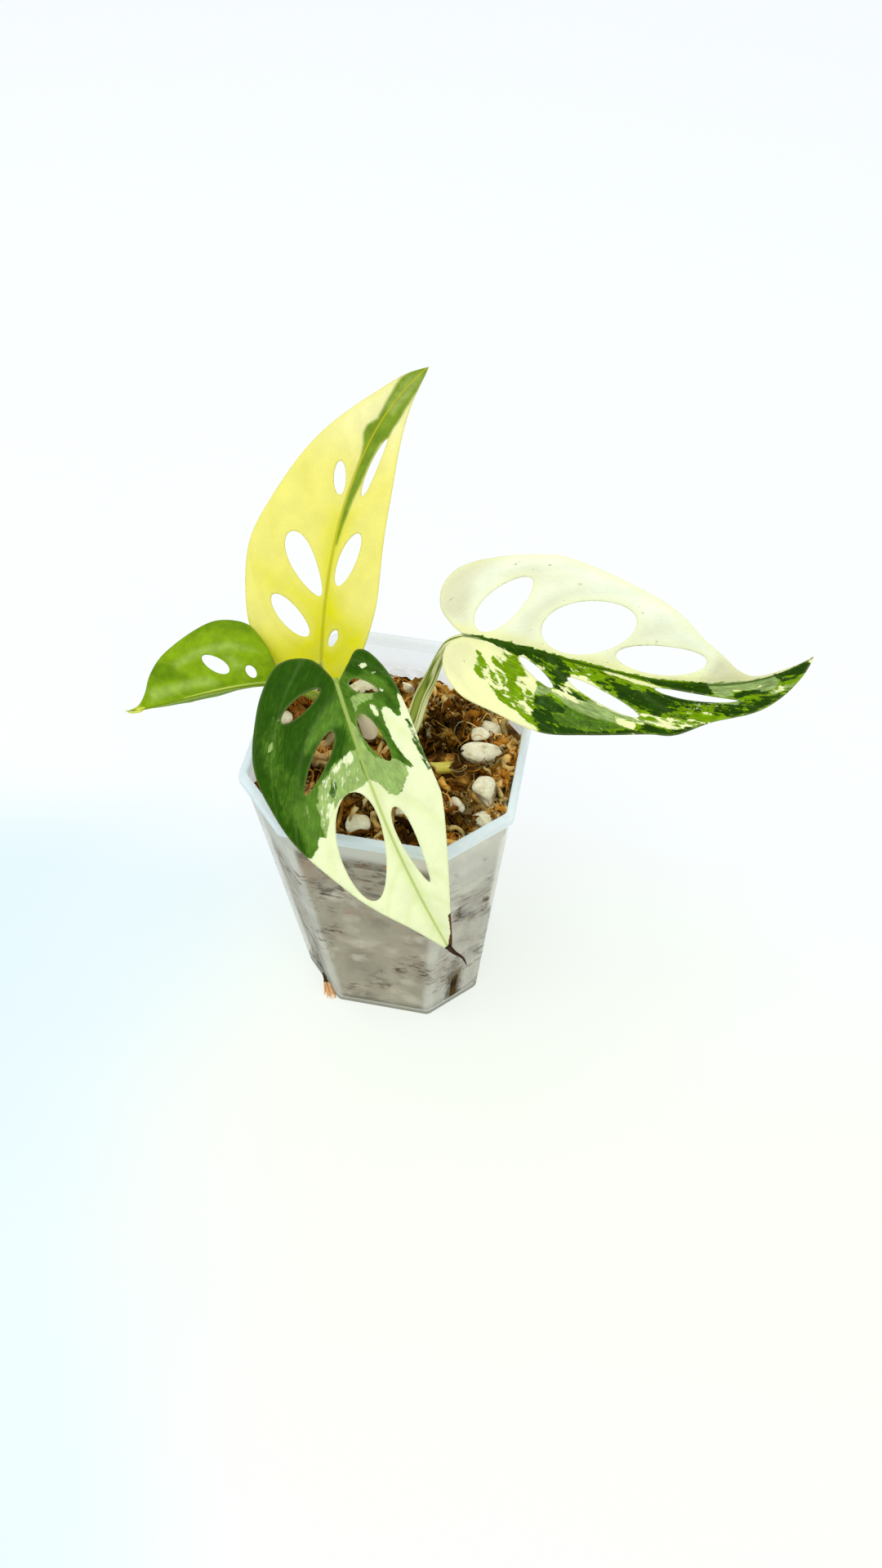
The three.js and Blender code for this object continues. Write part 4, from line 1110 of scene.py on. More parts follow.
def opened(sheet):
    """Moves the points round each slot and drain hole on to its outline, and marks the cells it opens.

    A slot ends in an arc: its two upper corner points move on to it. A drain hole is a round: the points
    of the cells it takes move on to a circle."""
    rows, columns = sheet.shape[:2]
    cells = np.zeros((rows - 1, columns), bool)
    low = len(FLOOR_SHARES) + WALL_HEIGHTS.index(SLOT_LOW)
    high = len(FLOOR_SHARES) + WALL_HEIGHTS.index(SLOT_HIGH)
    near, far = DRAIN_ROWS
    for quarter, way in enumerate([(0, -1), (1, 0), (0, 1), (-1, 0)]):
        flat_start = quarter * columns // 4 + CORNER_POINTS
        first = flat_start + len(FLAT_SHARES) + CORNER_POINTS + 2
        cells[low:high, first:first + 4] = True
        for column in (first, first + 4):
            inward = sheet[high, first + 2] - sheet[high, column]
            sheet[high, column] += unit(inward) * SLOT_ROUND
            sheet[high, column, 2] -= SLOT_ROUND
        hole = slice(flat_start + 3, flat_start + 8)
        middle = np.array(way) * DRAIN_RING
        patch = sheet[near:far, hole, :2] - middle
        sheet[near:far, hole, :2] = middle + DRAIN_RADIUS * unit(patch + 1e-9)
        cells[near:far - 1, hole.start:hole.stop - 1] = True
    return cells


def cup():
    """Outer and inner faces with the same cells open, joined at each opening, over the lip and, by a fan,
    at the middle of the floor."""
    outer = pot_sheet(0.0, 0.0)
    inner = pot_sheet(POT_FLOOR, POT_WALL)
    cells = opened(outer)
    opened(inner)
    rows, columns = outer.shape[:2]
    lip = lip_rows()
    sheet = np.concatenate([outer, lip, inner[::-1]])
    total = len(sheet)
    closed = np.ones((total - 1, columns), bool)
    closed[: rows - 1] &= ~cells
    closed[total - rows:] &= ~cells[::-1]
    quads = grid_faces(total, columns, True)[closed.ravel()]
    number = np.arange(total * columns).reshape(total, columns)
    mirror = number[::-1]
    rims = []
    right = np.roll(cells, -1, axis=1)
    for r, c in zip(*np.nonzero(cells != right)):
        d = (c + 1) % columns
        rim = [number[r, d], number[r + 1, d], mirror[r + 1, d], mirror[r, d]]
        rims.append(rim if cells[r, c] else rim[::-1])
    for r, c in zip(*np.nonzero(cells[1:] != cells[:-1])):
        d = (c + 1) % columns
        rim = [number[r + 1, c], number[r + 1, d], mirror[r + 1, d], mirror[r + 1, c]]
        rims.append(rim if cells[r + 1, c] else rim[::-1])
    points = sheet.reshape(-1, 3)
    poles = np.array([[0, 0, 0], [0, 0, POT_FLOOR]])
    under, over = len(points), len(points) + 1
    fans = [fan(under, 0, columns, False), fan(over, under - columns, columns, True)]
    return np.vstack([points, poles]), [quads, np.array(rims), *fans]


def without_spares(points, faces):
    """Drops the points that no face has, and numbers the rest again."""
    used = np.unique(np.concatenate([block.ravel() for block in faces]))
    number = np.zeros(len(points), int)
    number[used] = np.arange(len(used))
    return points[used], [number[block] for block in faces]


def slot_streak(look, place):
    """How much a place lies in the brown streaks behind the two front slots."""
    x, y, height = look.parts(place)[:3]
    ragged = look.swing(look.noise(place, 300.0, 3.0), 0.006)
    off = look.size(look.sum(look.size(x), look.times(look.size(y), -1.0)))
    wide = look.step(look.sum(off, ragged), 0.0058, 0.0030)
    return look.times(look.times(wide, look.step(height, 0.027, 0.021)), look.step(y, -0.005, -0.015))


def dark_dashes(look, place):
    """Where bits of dark moss touch the wall: small dashes, in some places only."""
    dashes = look.noise(look.stretched(place, (1, 1, 2.2), (0.2, 0.7, 0)), 230.0, 2.0, 0.5)
    region = look.noise(look.shifted(place, (0.9, 0.3, 0)), 48.0, 2.0)
    return look.times(look.step(dashes, 0.55, 0.6), look.step(region, 0.46, 0.56))


def pot_look():
    """Thin frosted plastic: a milky film that lets the mix show through. The film is cloudier in some places,
    whiter on the lip and the foot, and thin where dark moss or a brown streak lies behind it. Painted light
    makes it whiter and cloudier on the cut corners, most near their top, and a painted highlight whitens it
    along the moulded edges. Above the mix, where its far side is clearer, it is painted whiter, and bluish at
    the back, for the light that shines through it there."""
    look = Look("frosted_plastic")
    place = look.place()
    x, y, height = look.parts(place)[:3]
    lip = look.step(height, 0.1030, 0.1038)
    above = look.step(height, 0.0935, 0.0985)
    foot = look.step(height, 0.0042, 0.0016)
    rear = look.step(y, -0.005, 0.02)
    reach = look.sum(look.size(x), look.size(y))
    # painted light: the cut corners, where more light falls, are made whiter and cloudier
    corner = look.step(look.sum(reach, look.times(height, -0.136)), 0.0405, 0.0428)
    cloud = look.noise(place, 60.0, 4.0, 0.6)
    streaks = look.noise(look.stretched(place, (260, 260, 18)), 1.0, 3.0)
    dashes = dark_dashes(look, place)

    haze = look.sum(look.step(cloud, 0.3, 0.75, 0.16, 0.34), look.step(streaks, 0.35, 0.75, 0.0, 0.05))
    haze = look.sum(haze, look.times(corner, 0.1))
    # painted highlight: whiter film along the rounded moulded edges
    haze = look.sum(haze, look.times(look.attribute("edge"), 0.16))
    haze = look.sum(haze, look.step(height, 0.034, 0.012, 0.0, 0.07))
    haze = look.times(haze, look.step(slot_streak(look, place), 0.0, 1.0, 1.0, 0.25))
    haze = look.times(haze, look.step(dashes, 0.0, 1.0, 1.0, 0.45))
    # painted light: cloudier still near the top of the cut corners
    haze = look.sum(haze, look.times(corner, look.step(height, 0.072, 0.092, 0.0, 0.22)))
    haze = look.step(above, 0.0, 1.0, haze, look.step(rear, 0.0, 1.0, 0.55, 0.22))
    haze = look.step(lip, 0.0, 1.0, haze, look.step(rear, 0.0, 1.0, 0.8, 0.35))
    haze = look.step(foot, 0.0, 1.0, haze, 0.9)

    # painted light: whiter film on the cut corners
    colour = look.blend(corner, (214, 212, 192), (236, 238, 228))
    colour = look.blend(look.times(dashes, 0.6), colour, (150, 112, 84))
    # painted light: above the mix the film is whiter, and bluish white at the back, as is the lip there, for
    # the light that shines through from behind
    colour = look.blend(above, colour, look.blend(rear, (238, 240, 230), (240, 250, 255)))
    colour = look.blend(lip, colour, look.blend(rear, (234, 246, 250), (244, 252, 255)))
    colour = look.blend(foot, colour, (160, 158, 141))
    milk = look.surface(colour, 0.4, 0.35, look.bump(streaks, 0.00006, 0.3))
    bare = look.node("ShaderNodeBsdfTransparent").outputs[0]
    return look.finish(look.mixed(haze, bare, look.lit_through(0.35, milk, colour)))


def clear_pot():
    """The cup, with an attribute that is 1 on its rounded corners and 0 elsewhere, where a painted highlight
    whitens the film.
    """
    points, faces = without_spares(*cup())
    reach = np.sort(np.abs(points[:, :2]), axis=1)
    half, corner = wall_size(points[:, 2])
    off_corner = np.hypot(reach[:, 1] - half, reach[:, 0] - (half - corner))
    edge = (off_corner < CORNER_ROUND + 0.5) * smooth_step(1, 4, points[:, 2])
    new_piece("pot_wall", points, faces, [pot_look()], ["pot"], {"edge": edge})


# The growing mix: a mound of moss that fills the pot, with strands, scraps and perlite in its top
def mix_height(x, y):
    """The mound's height: a low dome with swells and lumps."""
    out = np.minimum(1, np.hypot(x, y) / POT_TOP[0])
    mound = MIX_CROWN * (1 - out**2.5)
    swells = 1.1 * np.sin(0.42 * x + 1.3) * np.sin(0.38 * y + 0.4)
    lumps = 0.6 * np.sin(0.95 * x - 0.6 * y) + 0.5 * np.sin(0.5 * x + 1.15 * y + 2)
    return MIX_EDGE + mound + swells + lumps


# Loose moss heaped against the wall: the middle of each heap, its rise, and its reach both ways
HEAPS = [
    (-34, 10, 12, 8, 9), (6, 36, -3, 20, 4), (36, 9, 5, 6, 10), (-20, -14, 3, 4, 4), (-32, -20, 10, 4, 6),
]


def moss_height(x, y, share=1.0):
    """The mound with loose moss heaped on it."""
    heaps = sum(rise * hump(x, cx, along) * hump(y, cy, across) for cx, cy, rise, along, across in HEAPS)
    return mix_height(x, y) + share * heaps


def off_chunks(x, y):
    """How far points are from the perlite, in the chunks' own half widths: 1 is on the nearest outline."""
    nearest = np.full(np.shape(x), 9.0)
    for cx, cy, long, wide, _, turn in CHUNKS[:MOSSY_CHUNK] + CHUNKS[MOSSY_CHUNK + 1:]:
        c, s = math.cos(math.radians(turn)), math.sin(math.radians(turn))
        a, b = (x - cx) * c + (y - cy) * s, (y - cy) * c - (x - cx) * s
        nearest = np.minimum(nearest, np.hypot(2 * a / long, 2 * b / wide))
    return nearest


def off_stub(x, y, z):
    """The distance from points to the stem's near stretch, whose torn end lies bare on the moss."""
    start, end = np.array(STEM_PATH[0], float), np.array(STEM_PATH[2], float)
    start = start + unit(start - end) * 5
    points = np.stack([x, y, np.minimum(z, start[2] + 0.5)], axis=-1)
    along = end - start
    share = np.clip((points - start) @ along / (along @ along), 0, 1)
    return np.linalg.norm(points - start - share[..., None] * along, axis=-1)


def rumple(x, y, z, scale):
    """A sum of sine products at three sizes, from -1 to 1, for lumpy surfaces."""
    total = 0
    for k, (size, turn) in enumerate([(1, 0.3), (2.1, 1.7), (4.3, 2.9)]):
        a = np.sin(size * scale * (x + 0.6 * z) + turn) * np.sin(size * scale * (y - 0.5 * z) + 2 * turn + 1)
        total = total + a * np.cos(size * scale * (z + 0.3 * x) + turn * 3) / (k + 1)
    return total / 1.5


# Browns of the mix, as [place along the ramp, colour], and where a hollow in it is darkened by painted shade
MOSS_TONES = [
    (0.05, (76, 44, 8)), (0.3, (152, 100, 28)), (0.5, (208, 150, 54)), (0.7, (240, 198, 102)),
    (0.95, (252, 236, 176)),
]
ROOT_TONES = [(0.05, (48, 30, 6)), (0.32, (108, 86, 42)), (0.6, (244, 204, 150))]
PRESSED_TONES = [
    (0.34, (116, 102, 82)), (0.46, (142, 130, 109)), (0.58, (156, 145, 125)), (0.7, (184, 175, 158)),
]
SLOT_STREAK_TONES = [(0.1, (112, 104, 78)), (0.3, (66, 44, 12)), (0.75, (104, 78, 34))]
PEAT_TONES = [(0.34, (30, 15, 2)), (0.5, (84, 52, 12)), (0.62, (146, 100, 34)), (0.75, (196, 150, 72))]
SHADED_HOLLOW = (0.0135, 0.0105)  # metres


def moss_side_look():
    """Moss and perlite pressed against the wall: soft grey brown blots with paler lumps, rusty places, small
    dark brown dashes, and dark streaks behind the front slots, olive grey at their foot, darkest a little
    higher up and brown above."""
    look = Look("pressed_mix")
    place = look.place()
    blots = look.noise(place, 90.0, 4.0, 0.55, 0.4)
    colour = look.ramp(blots, PRESSED_TONES)
    ragged = look.sum(look.cells(place, 130.0), look.times(look.noise(place, 420.0, 3.0), 0.5))
    lumps = look.step(ragged, 0.45, 0.8, 0.55, 0.0)
    patchy = look.step(look.noise(look.shifted(place, (0.4, 0.1, 0)), 70.0), 0.42, 0.6)
    colour = look.blend(look.times(lumps, patchy), colour, (226, 222, 206))
    colour = look.blend(look.times(dark_dashes(look, place), 0.95), colour, (44, 16, 0))
    rust = look.step(look.noise(look.shifted(place, (0.2, 0.9, 0)), 85.0, 3.0), 0.58, 0.68, 0.0, 0.5)
    colour = look.blend(rust, colour, (150, 92, 44))
    streak_colour = look.ramp(look.times(look.parts(place)[2], 40.0), SLOT_STREAK_TONES)
    colour = look.blend(look.times(slot_streak(look, place), 0.95), colour, streak_colour)
    return look.finish(look.surface(colour, 0.9, 0.1, look.bump(blots, 0.0006, 0.6)))


def lit_side(look):
    """How much painted light falls on a place in the moss by the side walls, and how bright its clump of moss
    is painted: painted light and shade on clumps a few millimetres wide, from dark hollows to bright crests,
    all a little darker in the middle, and painted shade in one hollow between the stem's torn end and the
    largest chunk."""
    place = look.place()
    x, y = look.parts(place)[:2]
    # painted light and shade: clumps of moss from dark hollows to bright crests
    clump_light_and_shade = look.step(look.noise(place, 150.0, 2.0, 0.5), 0.38, 0.6, 0.42, 1.3)
    off_middle = look.size(look.sum(x, 0.007))
    clump_light_and_shade = look.times(clump_light_and_shade, look.step(off_middle, 0.018, 0.029, 0.85, 1.0))
    # painted shade in one hollow between the stem's torn end and the largest chunk
    near = [look.step(look.size(look.sum(value, -at)), 0.009, 0.003) for value, at in zip((x, y), SHADED_HOLLOW)]
    clump_light_and_shade = look.times(clump_light_and_shade, look.step(look.times(*near), 0.0, 1.0, 1.0, 0.55))
    # painted light: the moss by the right wall and, a little less, by the left wall is paler
    return look.sum(look.step(x, 0.016, 0.030), look.step(x, -0.020, -0.028, 0.0, 0.9)), clump_light_and_shade


def moss_top_look():
    """Dark wet-looking peat brown between the strands, with rusty and tan scraps. Painted light makes it
    paler and more golden by the side walls, and it has the painted light and shade of the clumps.
    """
    look = Look("moss_bed")
    blots = look.noise(look.place(), 260.0, 5.0, 0.65, 0.8)
    sunny, clump_light_and_shade = lit_side(look)
    # painted light: paler and more golden by the side walls
    colour = look.blend(look.times(sunny, 0.3), look.ramp(blots, PEAT_TONES), (206, 150, 58))
    colour = look.tinted(colour, clump_light_and_shade)
    return look.finish(look.surface(colour, 0.85, 0.1, look.bump(blots, 0.0008, 0.9)))


def moss_bed():
    """The mix as one closed lump: its side follows the inner wall with shallow dents, and its top is the
    mound with a rumpled skin."""
    around, floor_rows = 280, 4

    def ring_at(height):
        ring = wall_ring(height, POT_WALL + GAP)
        return even_steps(np.vstack([ring, ring[:1]]), around)[:-1]

    heights = np.linspace(POT_FLOOR + GAP, MIX_EDGE - 0.5, 86)
    side = np.array([ring_at(z) for z in heights])
    dent = 0.1 * (1 + rumple(side[..., 0], side[..., 1], side[..., 2], 0.55))
    side = side - unit(side * (1, 1, 0)) * dent[..., None]
    shares = np.linspace(1, 0, 46)[:-1]
    top = ring_at(MIX_EDGE)[None] * np.stack([shares, shares, np.ones(45)], axis=1)[:, None, :]
    x, y = top[..., 0], top[..., 1]
    settle = smooth_step(0, 0.06, 1 - shares)[:, None]
    heaped = moss_height(x, y, 0.6) - 0.5 + 0.7 * rumple(x, y, 0 * x, 1.1)
    stem_low = 96.0
    high = np.minimum(heaped, off_stub(x, y, stem_low + 0 * x) + stem_low)
    top[..., 2] = mix(MIX_EDGE, high, settle)
    inward = np.linspace(0.15, 0.85, floor_rows)
    low = side[0][None] * np.stack([inward, inward, np.ones(floor_rows)], axis=1)[:, None, :]
    sheet = np.concatenate([low, side, top])
    rows = len(sheet)
    crown = np.array([0, 0, moss_height(0.0, 0.0) - 0.5])
    points = np.vstack([sheet.reshape(-1, 3), [0, 0, heights[0]], crown])
    under, over = rows * around, rows * around + 1
    fans = [fan(under, 0, around, False), fan(over, under - around, around, True)]
    on_side = np.repeat(np.arange(rows - 1) < len(low) + len(side), around)
    part = np.concatenate([np.where(on_side, 0, 1), np.zeros(around), np.ones(around)]).astype(int)
    faces = [grid_faces(rows, around, True), *fans]
    looks = [moss_side_look(), moss_top_look()]
    new_piece("moss_bed", points, faces, looks, ["growing_mix"], part=part)


def strand_look(name, stops, clumped=True):
    """Moss in one of several browns for each strand, with painted shade that darkens it low down in the bed
    and painted light that gives it paler browns by the side walls. Clumped moss also has the bright and dark
    clumps of painted light and shade and rusty places, and is more orange on the left."""
    look = Look(name)
    place = look.place()
    grain = look.noise(place, 900.0, 3.0)
    sunny, clump_light_and_shade = lit_side(look)
    mixed = look.sum(look.attribute("shade"), look.swing(grain, 0.3))
    # painted light: strands by the side walls take paler browns
    colour = look.ramp(look.sum(mixed, look.times(sunny, 0.24)), stops)
    # painted shade: darker the lower a point lies in the bed
    bright = look.step(look.attribute("lifted"), -1.0, 1.6, 0.2, 1.0)
    if clumped:
        # painted light and shade of the clumps
        bright = look.times(bright, clump_light_and_shade)
        rusty = look.step(look.noise(place, 55.0, 2.0), 0.44, 0.6, 0.0, 0.6)
        colour = look.blend(rusty, colour, look.tinted(colour, (250, 226, 160)))
        orange = look.step(look.parts(place)[0], -0.017, -0.025, 0.0, 0.85)
        colour = look.blend(orange, colour, look.tinted(colour, (255, 190, 104)))
    colour = look.tinted(colour, bright)
    skin = look.surface(colour, 0.75, 0.05, look.bump(grain, 0.0002, 0.6))
    return look.finish(look.lit_through(0.35, skin, colour))


def in_pot(x, y, room):
    """True inside an eight-sided outline of a half width and a cut corner."""
    half, corner = room
    square = np.maximum(np.abs(x), np.abs(y)) < half
    return square & (np.abs(x) + np.abs(y) < 2 * half - corner)


def strand_paths(count, steps, length, arch, curl, seed, middle=(0, 0), spread=36):
    """Curved paths laid over the mound: each starts and ends in it and arches up between, swings sideways
    and wriggles. Those that would leave the pot, hide perlite or cover the stem's torn end are dropped."""
    random = np.random.default_rng(seed)
    draw = random.random((count, 10))
    out = spread * np.sqrt(draw[:, 0])
    around = 2 * np.pi * draw[:, 1]
    heading = 2 * np.pi * draw[:, 2]
    long = mix(length[0], length[1], draw[:, 3] ** 2)[:, None]
    s = np.linspace(-1, 1, steps)[None, :]
    swing = (draw[:, 4:5] - 0.5) * 0.8 * long * s**2
    swing = swing + curl * (draw[:, 5:6] - 0.5) * np.sin(mix(3, 8, draw[:, 8:9]) * s + 6 * draw[:, 6:7])
    along = s * long / 2 + 0.5 * curl * (draw[:, 9:10] - 0.5) * np.cos(7 * s + 6 * draw[:, 5:6])
    c, n = np.cos(heading)[:, None], np.sin(heading)[:, None]
    x = middle[0] + (out * np.cos(around))[:, None] + along * c - swing * n
    y = middle[1] + (out * np.sin(around))[:, None] + along * n + swing * c
    rise = mix(arch[0], arch[1], draw[:, 7:8] ** 1.6) * (1 - s**2)
    wriggle = 0.2 * curl * np.sin(6 * s + 9 * draw[:, 5:6]) - 0.6
    z = moss_height(x, y) + rise + wriggle
    keep = (in_pot(x, y, STRAND_ROOM) & (off_stub(x, y, z) > 3) & (z < MOSS_TOP)).all(axis=1)
    keep &= (off_chunks(x, y) > 0.85).all(axis=1) | (draw[:, 9] < 0.04)
    return np.stack([x, y, z], axis=-1)[keep], random


def strand_tubes(name, look, paths, random, thick, saw, sides):
    """Tubes along many paths. The radius follows a saw along each, as scale leaves do, and the section is
    flattened with ragged flares that turn as they go."""
    count, steps = paths.shape[:2]
    around = turns(sides)
    t = np.linspace(0, 1, steps)[None, :]
    size = mix(thick[0], thick[1], random.random((count, 1)) ** 1.5)
    teeth = 1 + saw * ((t * steps / 2.0 + random.random((count, 1))) % 1.0)
    radius = size * teeth * (0.25 + np.sin(np.pi * t) ** 0.35)
    flare = 1 + 0.9 * saw * np.cos(2 * around + 6 * random.random((count, 1, 1)) + 5 * t[..., None])
    section = round_section(around, radius[..., None] * flare, 0.55)
    points = swept(paths, np.array([0.03, 0.05, 1.0]), section).reshape(-1, 3)
    facts = {
        "shade": np.repeat(random.random(count), steps * sides),
        "lifted": points[:, 2] - moss_height(points[:, 0], points[:, 1]),
    }
    faces = many(tube_faces(steps, sides), count, steps * sides)
    new_piece(name, points, faces, [look], facts=facts)


# Strands laid all over the mix, each kind with how its paths are laid and how its tubes are shaped
STRANDS = {
    "moss_strands": (
        {"count": 900, "steps": 17, "length": (6, 22), "arch": (0.3, 4.2), "curl": 2.4, "seed": 5},
        {"thick": (0.4, 1.2), "saw": 0.35, "sides": 6},
    ),
    "moss_fibres": (
        {"count": 1500, "steps": 15, "length": (4, 15), "arch": (0.4, 4.8), "curl": 3.2, "seed": 9},
        {"thick": (0.1, 0.26), "saw": 0.3, "sides": 4},
    ),
}

# Shaggier tufts, all laid and shaped alike: name, number of strands, middle and reach
TUFT_LAID = {"steps": 15, "length": (4, 11), "arch": (0.5, 3.2), "curl": 3.0, "seed": 13}
TUFT_SHAPE = {"thick": (0.3, 0.8), "saw": 0.5, "sides": 6}
TUFTS = [
    ("left_tuft", 260, (-30, 10), 9),
    ("right_tuft", 200, (32, 6), 9),
    ("near_tuft", 60, (30, -10), 6),
    ("corner_tuft", 110, (-28, -17), 7),
]


def moss_strands():
    """Shaggy ropes of long sphagnum, finer curled fibres over and between them, shaggier tufts, and fibres
    that curl out of the stem's torn end."""
    look = strand_look("long_moss", MOSS_TONES)
    for name, (laid, shape) in STRANDS.items():
        strand_tubes(name, look, *strand_paths(**laid), **shape)
    for name, count, middle, spread in TUFTS:
        paths, random = strand_paths(count=count, middle=middle, spread=spread, **TUFT_LAID)
        strand_tubes(name, look, paths, random, **TUFT_SHAPE)
    curls = np.array([stub_curl(number) for number in range(5)])
    strand_tubes("stub_fibres", look, curls, np.random.default_rng(2), thick=(0.16, 0.22), saw=0.1, sides=6)


def moss_scraps():
    """Small dry leaf-like scraps: cupped, crumpled, pointed blades of two faces, tilted by chance."""
    random = np.random.default_rng(23)
    draw = random.random((600, 10))
    out, angle = 35 * np.sqrt(draw[:, 0]), 2 * np.pi * draw[:, 1]
    x, y = out * np.cos(angle), out * np.sin(angle)
    keep = in_pot(x, y, SCRAP_ROOM) & (off_stub(x, y, 98 + 0 * x) > 4) & (off_chunks(x, y) > 1.25)
    x, y, draw = x[keep], y[keep], draw[keep]
    count = len(x)
    rows, columns = 7, 5
    u, v = np.meshgrid(np.linspace(-1, 1, rows), np.linspace(-1, 1, columns), indexing="ij")
    draw = draw[:, :, None, None]
    long = mix(1.0, 3.6, draw[:, 2] ** 1.6)
    wide = long * mix(0.25, 0.6, draw[:, 3])
    outline = np.sqrt(np.clip(1.02 - u**2, 0, 1)) * (1 + 0.35 * np.sin(7 * u + 6 * draw[:, 8]))
    a = long * u * (1 - 0.15 * np.abs(v))
    b = wide * v * outline
    crumple = 0.22 * wide * np.sin(3 * u + 4 * v + 9 * draw[:, 9]) + 0.12 * wide * np.sin(7 * u - 5 * v)
    cupped = 0.9 * wide * v**2 + 0.5 * long * u**2 * (draw[:, 4] - 0.3) + crumple
    tilt = mix(-1.1, 1.1, draw[:, 5])
    turn = 2 * np.pi * draw[:, 6]
    flat_a = a * np.cos(tilt) - cupped * np.sin(tilt)
    high = a * np.sin(tilt) + cupped * np.cos(tilt)
    px = x[:, None, None] + flat_a * np.cos(turn) - b * np.sin(turn)
    py = y[:, None, None] + flat_a * np.sin(turn) + b * np.cos(turn)
    pz = moss_height(x, y)[:, None, None] + high + mix(-0.3, 1.6, draw[:, 7])
    face = np.stack([px, py, pz], axis=-1).reshape(count, -1, 3)
    thick = (0, 0, 0.07)
    points = np.concatenate([face + thick, face - thick], axis=1).reshape(-1, 3)
    quads = grid_faces(rows, columns, False)
    under = rows * columns
    number = np.arange(under).reshape(rows, columns)
    loop = np.concatenate([number[0, :-1], number[:-1, -1], number[-1, :0:-1], number[:0:-1, 0]])
    after = np.roll(loop, -1)
    rim = np.stack([after, loop, loop + under, after + under], axis=1)
    faces = many([quads, quads[:, ::-1] + under, rim], count, 2 * under)
    facts = {
        "shade": np.repeat(0.15 + 0.7 * random.random(count), 2 * under),
        "lifted": points[:, 2] - moss_height(points[:, 0], points[:, 1]),
    }
    new_piece("moss_scraps", points, faces, [strand_look("moss_leaf", MOSS_TONES)], facts=facts)


def wall_roots():
    """Brown roots that run down behind the two front slots, and a tuft of moss that pokes out of one."""
    sides = 8
    around = turns(sides)
    points, faces = [], []

    def add(path, radius, flat, reference):
        first = sum(map(len, points))
        faces.extend(block + first for block in tube_faces(len(path), sides))
        tube = swept(path, np.array(reference), round_section(around, radius[:, None], flat))
        points.append(tube.reshape(-1, 3))

    for side in (1, -1):
        heights = np.linspace(33, 2.2, 26)
        half, corner = wall_size(heights)
        inward = half - corner / 2 - 1.25 + 0.12 * np.sin(0.5 * heights)
        sway = 0.5 * np.sin(0.16 * heights + side)
        path = np.stack([side * (inward + sway * side * 0.7), -inward + sway * side * 0.7, heights], axis=1)
        add(path, 2.5 * np.sqrt(np.clip((33.4 - heights) / 8, 0, 1)) + 0.1, 0.4, [1.0, side, 0])
    random = np.random.default_rng(3)
    for _ in range(24):
        start = np.array([-21.2, -21.6, 3.4]) + (random.random(3) - 0.5) * 1.6
        end = np.array([-18.2, -27.8, 0.6]) + (random.random(3) - 0.5) * (4.6, 3.2, 0.5)
        path = smooth_path([start, (start + end) / 2 + (0, -0.3, 0.9), end], 0.35)
        add(path, mix(0.32, 0.14, np.linspace(0, 1, len(path))), 1.0, [0.2, 0.1, 1.0])
    points = np.vstack(points)
    deep = hump(points[:, 2], 12, 4)
    outside = points[:, 1] < -24.9
    facts = {"shade": np.where(outside, 0.65, 0.15 - 0.2 * deep), "lifted": np.full(len(points), 2.5)}
    look = strand_look("root_brown", ROOT_TONES, False)
    new_piece("wall_roots", points, faces, [look], facts=facts)


# Perlite chunks: [x, y, length, width, height, turn in degrees], half sunk in the mix
CHUNKS = [
    (24.2, 7, 12, 7.2, 5, 5), (27, -5.2, 7, 8.5, 5.5, 35), (20.4, -11.7, 5.4, 3.6, 3, -25),
    (28.2, -14, 5, 4.4, 4, 10), (22.6, 13.3, 4.8, 4.2, 3.6, 30), (24.8, 18.9, 6.6, 5.2, 4, -30),
    (-4.3, -24.3, 7.4, 5.8, 5.4, 8), (6.5, -18.5, 5, 4.2, 3.8, 60), (-2.1, 27, 5.4, 4.2, 4, 20),
    (9.1, 30.6, 3.8, 3.2, 4.4, 0), (-20, -14, 6.4, 5, 4.6, 70), (-27, 2, 5.2, 4.4, 4, 10),
    (-18, 22, 7, 5, 4.4, -35), (14, 24, 3.6, 3, 2.8, 45),
]
MOSSY_CHUNK = 10  # its place in the list, counted from 0: moss may lie over it
# the sixth chunk lies in shade: its higher brown is painted shade as well as stain
STAINED_AND_SHADED_CHUNKS = (2, 6)  # the second and the sixth chunk are stained higher up
FACET_SIZES = {1: 0.07, 2: 0.25}  # the first is the smoothest and the second the roughest
FACET_SIZE = 0.17
FAR_LUMP = (-13, 26, 12, 8, 6.5, 30)
HEAP_LUMP = (-31.5, 3.0, 4.4, 3.6, 4, 40)
HEAP_LUMP_LIFT = 8.5


def perlite_look():
    """Chalky popped glass: off-white with grey hollows, pinholes and brown stains low down."""
    look = Look("perlite_lump")
    place = look.place()
    grain = look.noise(place, 500.0, 5.0, 0.65)
    colour = look.ramp(grain, [(0.28, (186, 174, 138)), (0.42, (234, 226, 190)), (0.6, (250, 246, 220))])
    low = look.step(look.attribute("lifted"), 0.0, 2.0, 0.8, 0.05)
    stain = look.times(look.step(look.noise(place, 220.0), 0.42, 0.65), low)
    colour = look.blend(stain, colour, (128, 98, 60))
    normal = look.bump(look.step(look.cells(place, 1500.0), 0.1, 0.5), 0.00018, 0.5)
    return look.finish(look.surface(colour, 0.88, 0.15, look.bump(grain, 0.0003, 0.7, normal)))


def ball(rows, columns):
    """A round of unit directions with closed poles, and its faces."""
    down = np.pi * np.arange(1, rows)[:, None] / rows
    around = turns(columns)
    grid = [np.sin(down) * np.cos(around), np.sin(down) * np.sin(around), np.cos(down) * np.ones(columns)]
    grid = np.stack(grid, axis=-1).reshape(-1, 3)
    count = len(grid)
    fans = [fan(count, 0, columns, True), fan(count + 1, count - columns, columns, False)]
    return np.vstack([grid, [0, 0, 1], [0, 0, -1]]), [grid_faces(rows - 1, columns, True)[:, ::-1], *fans]


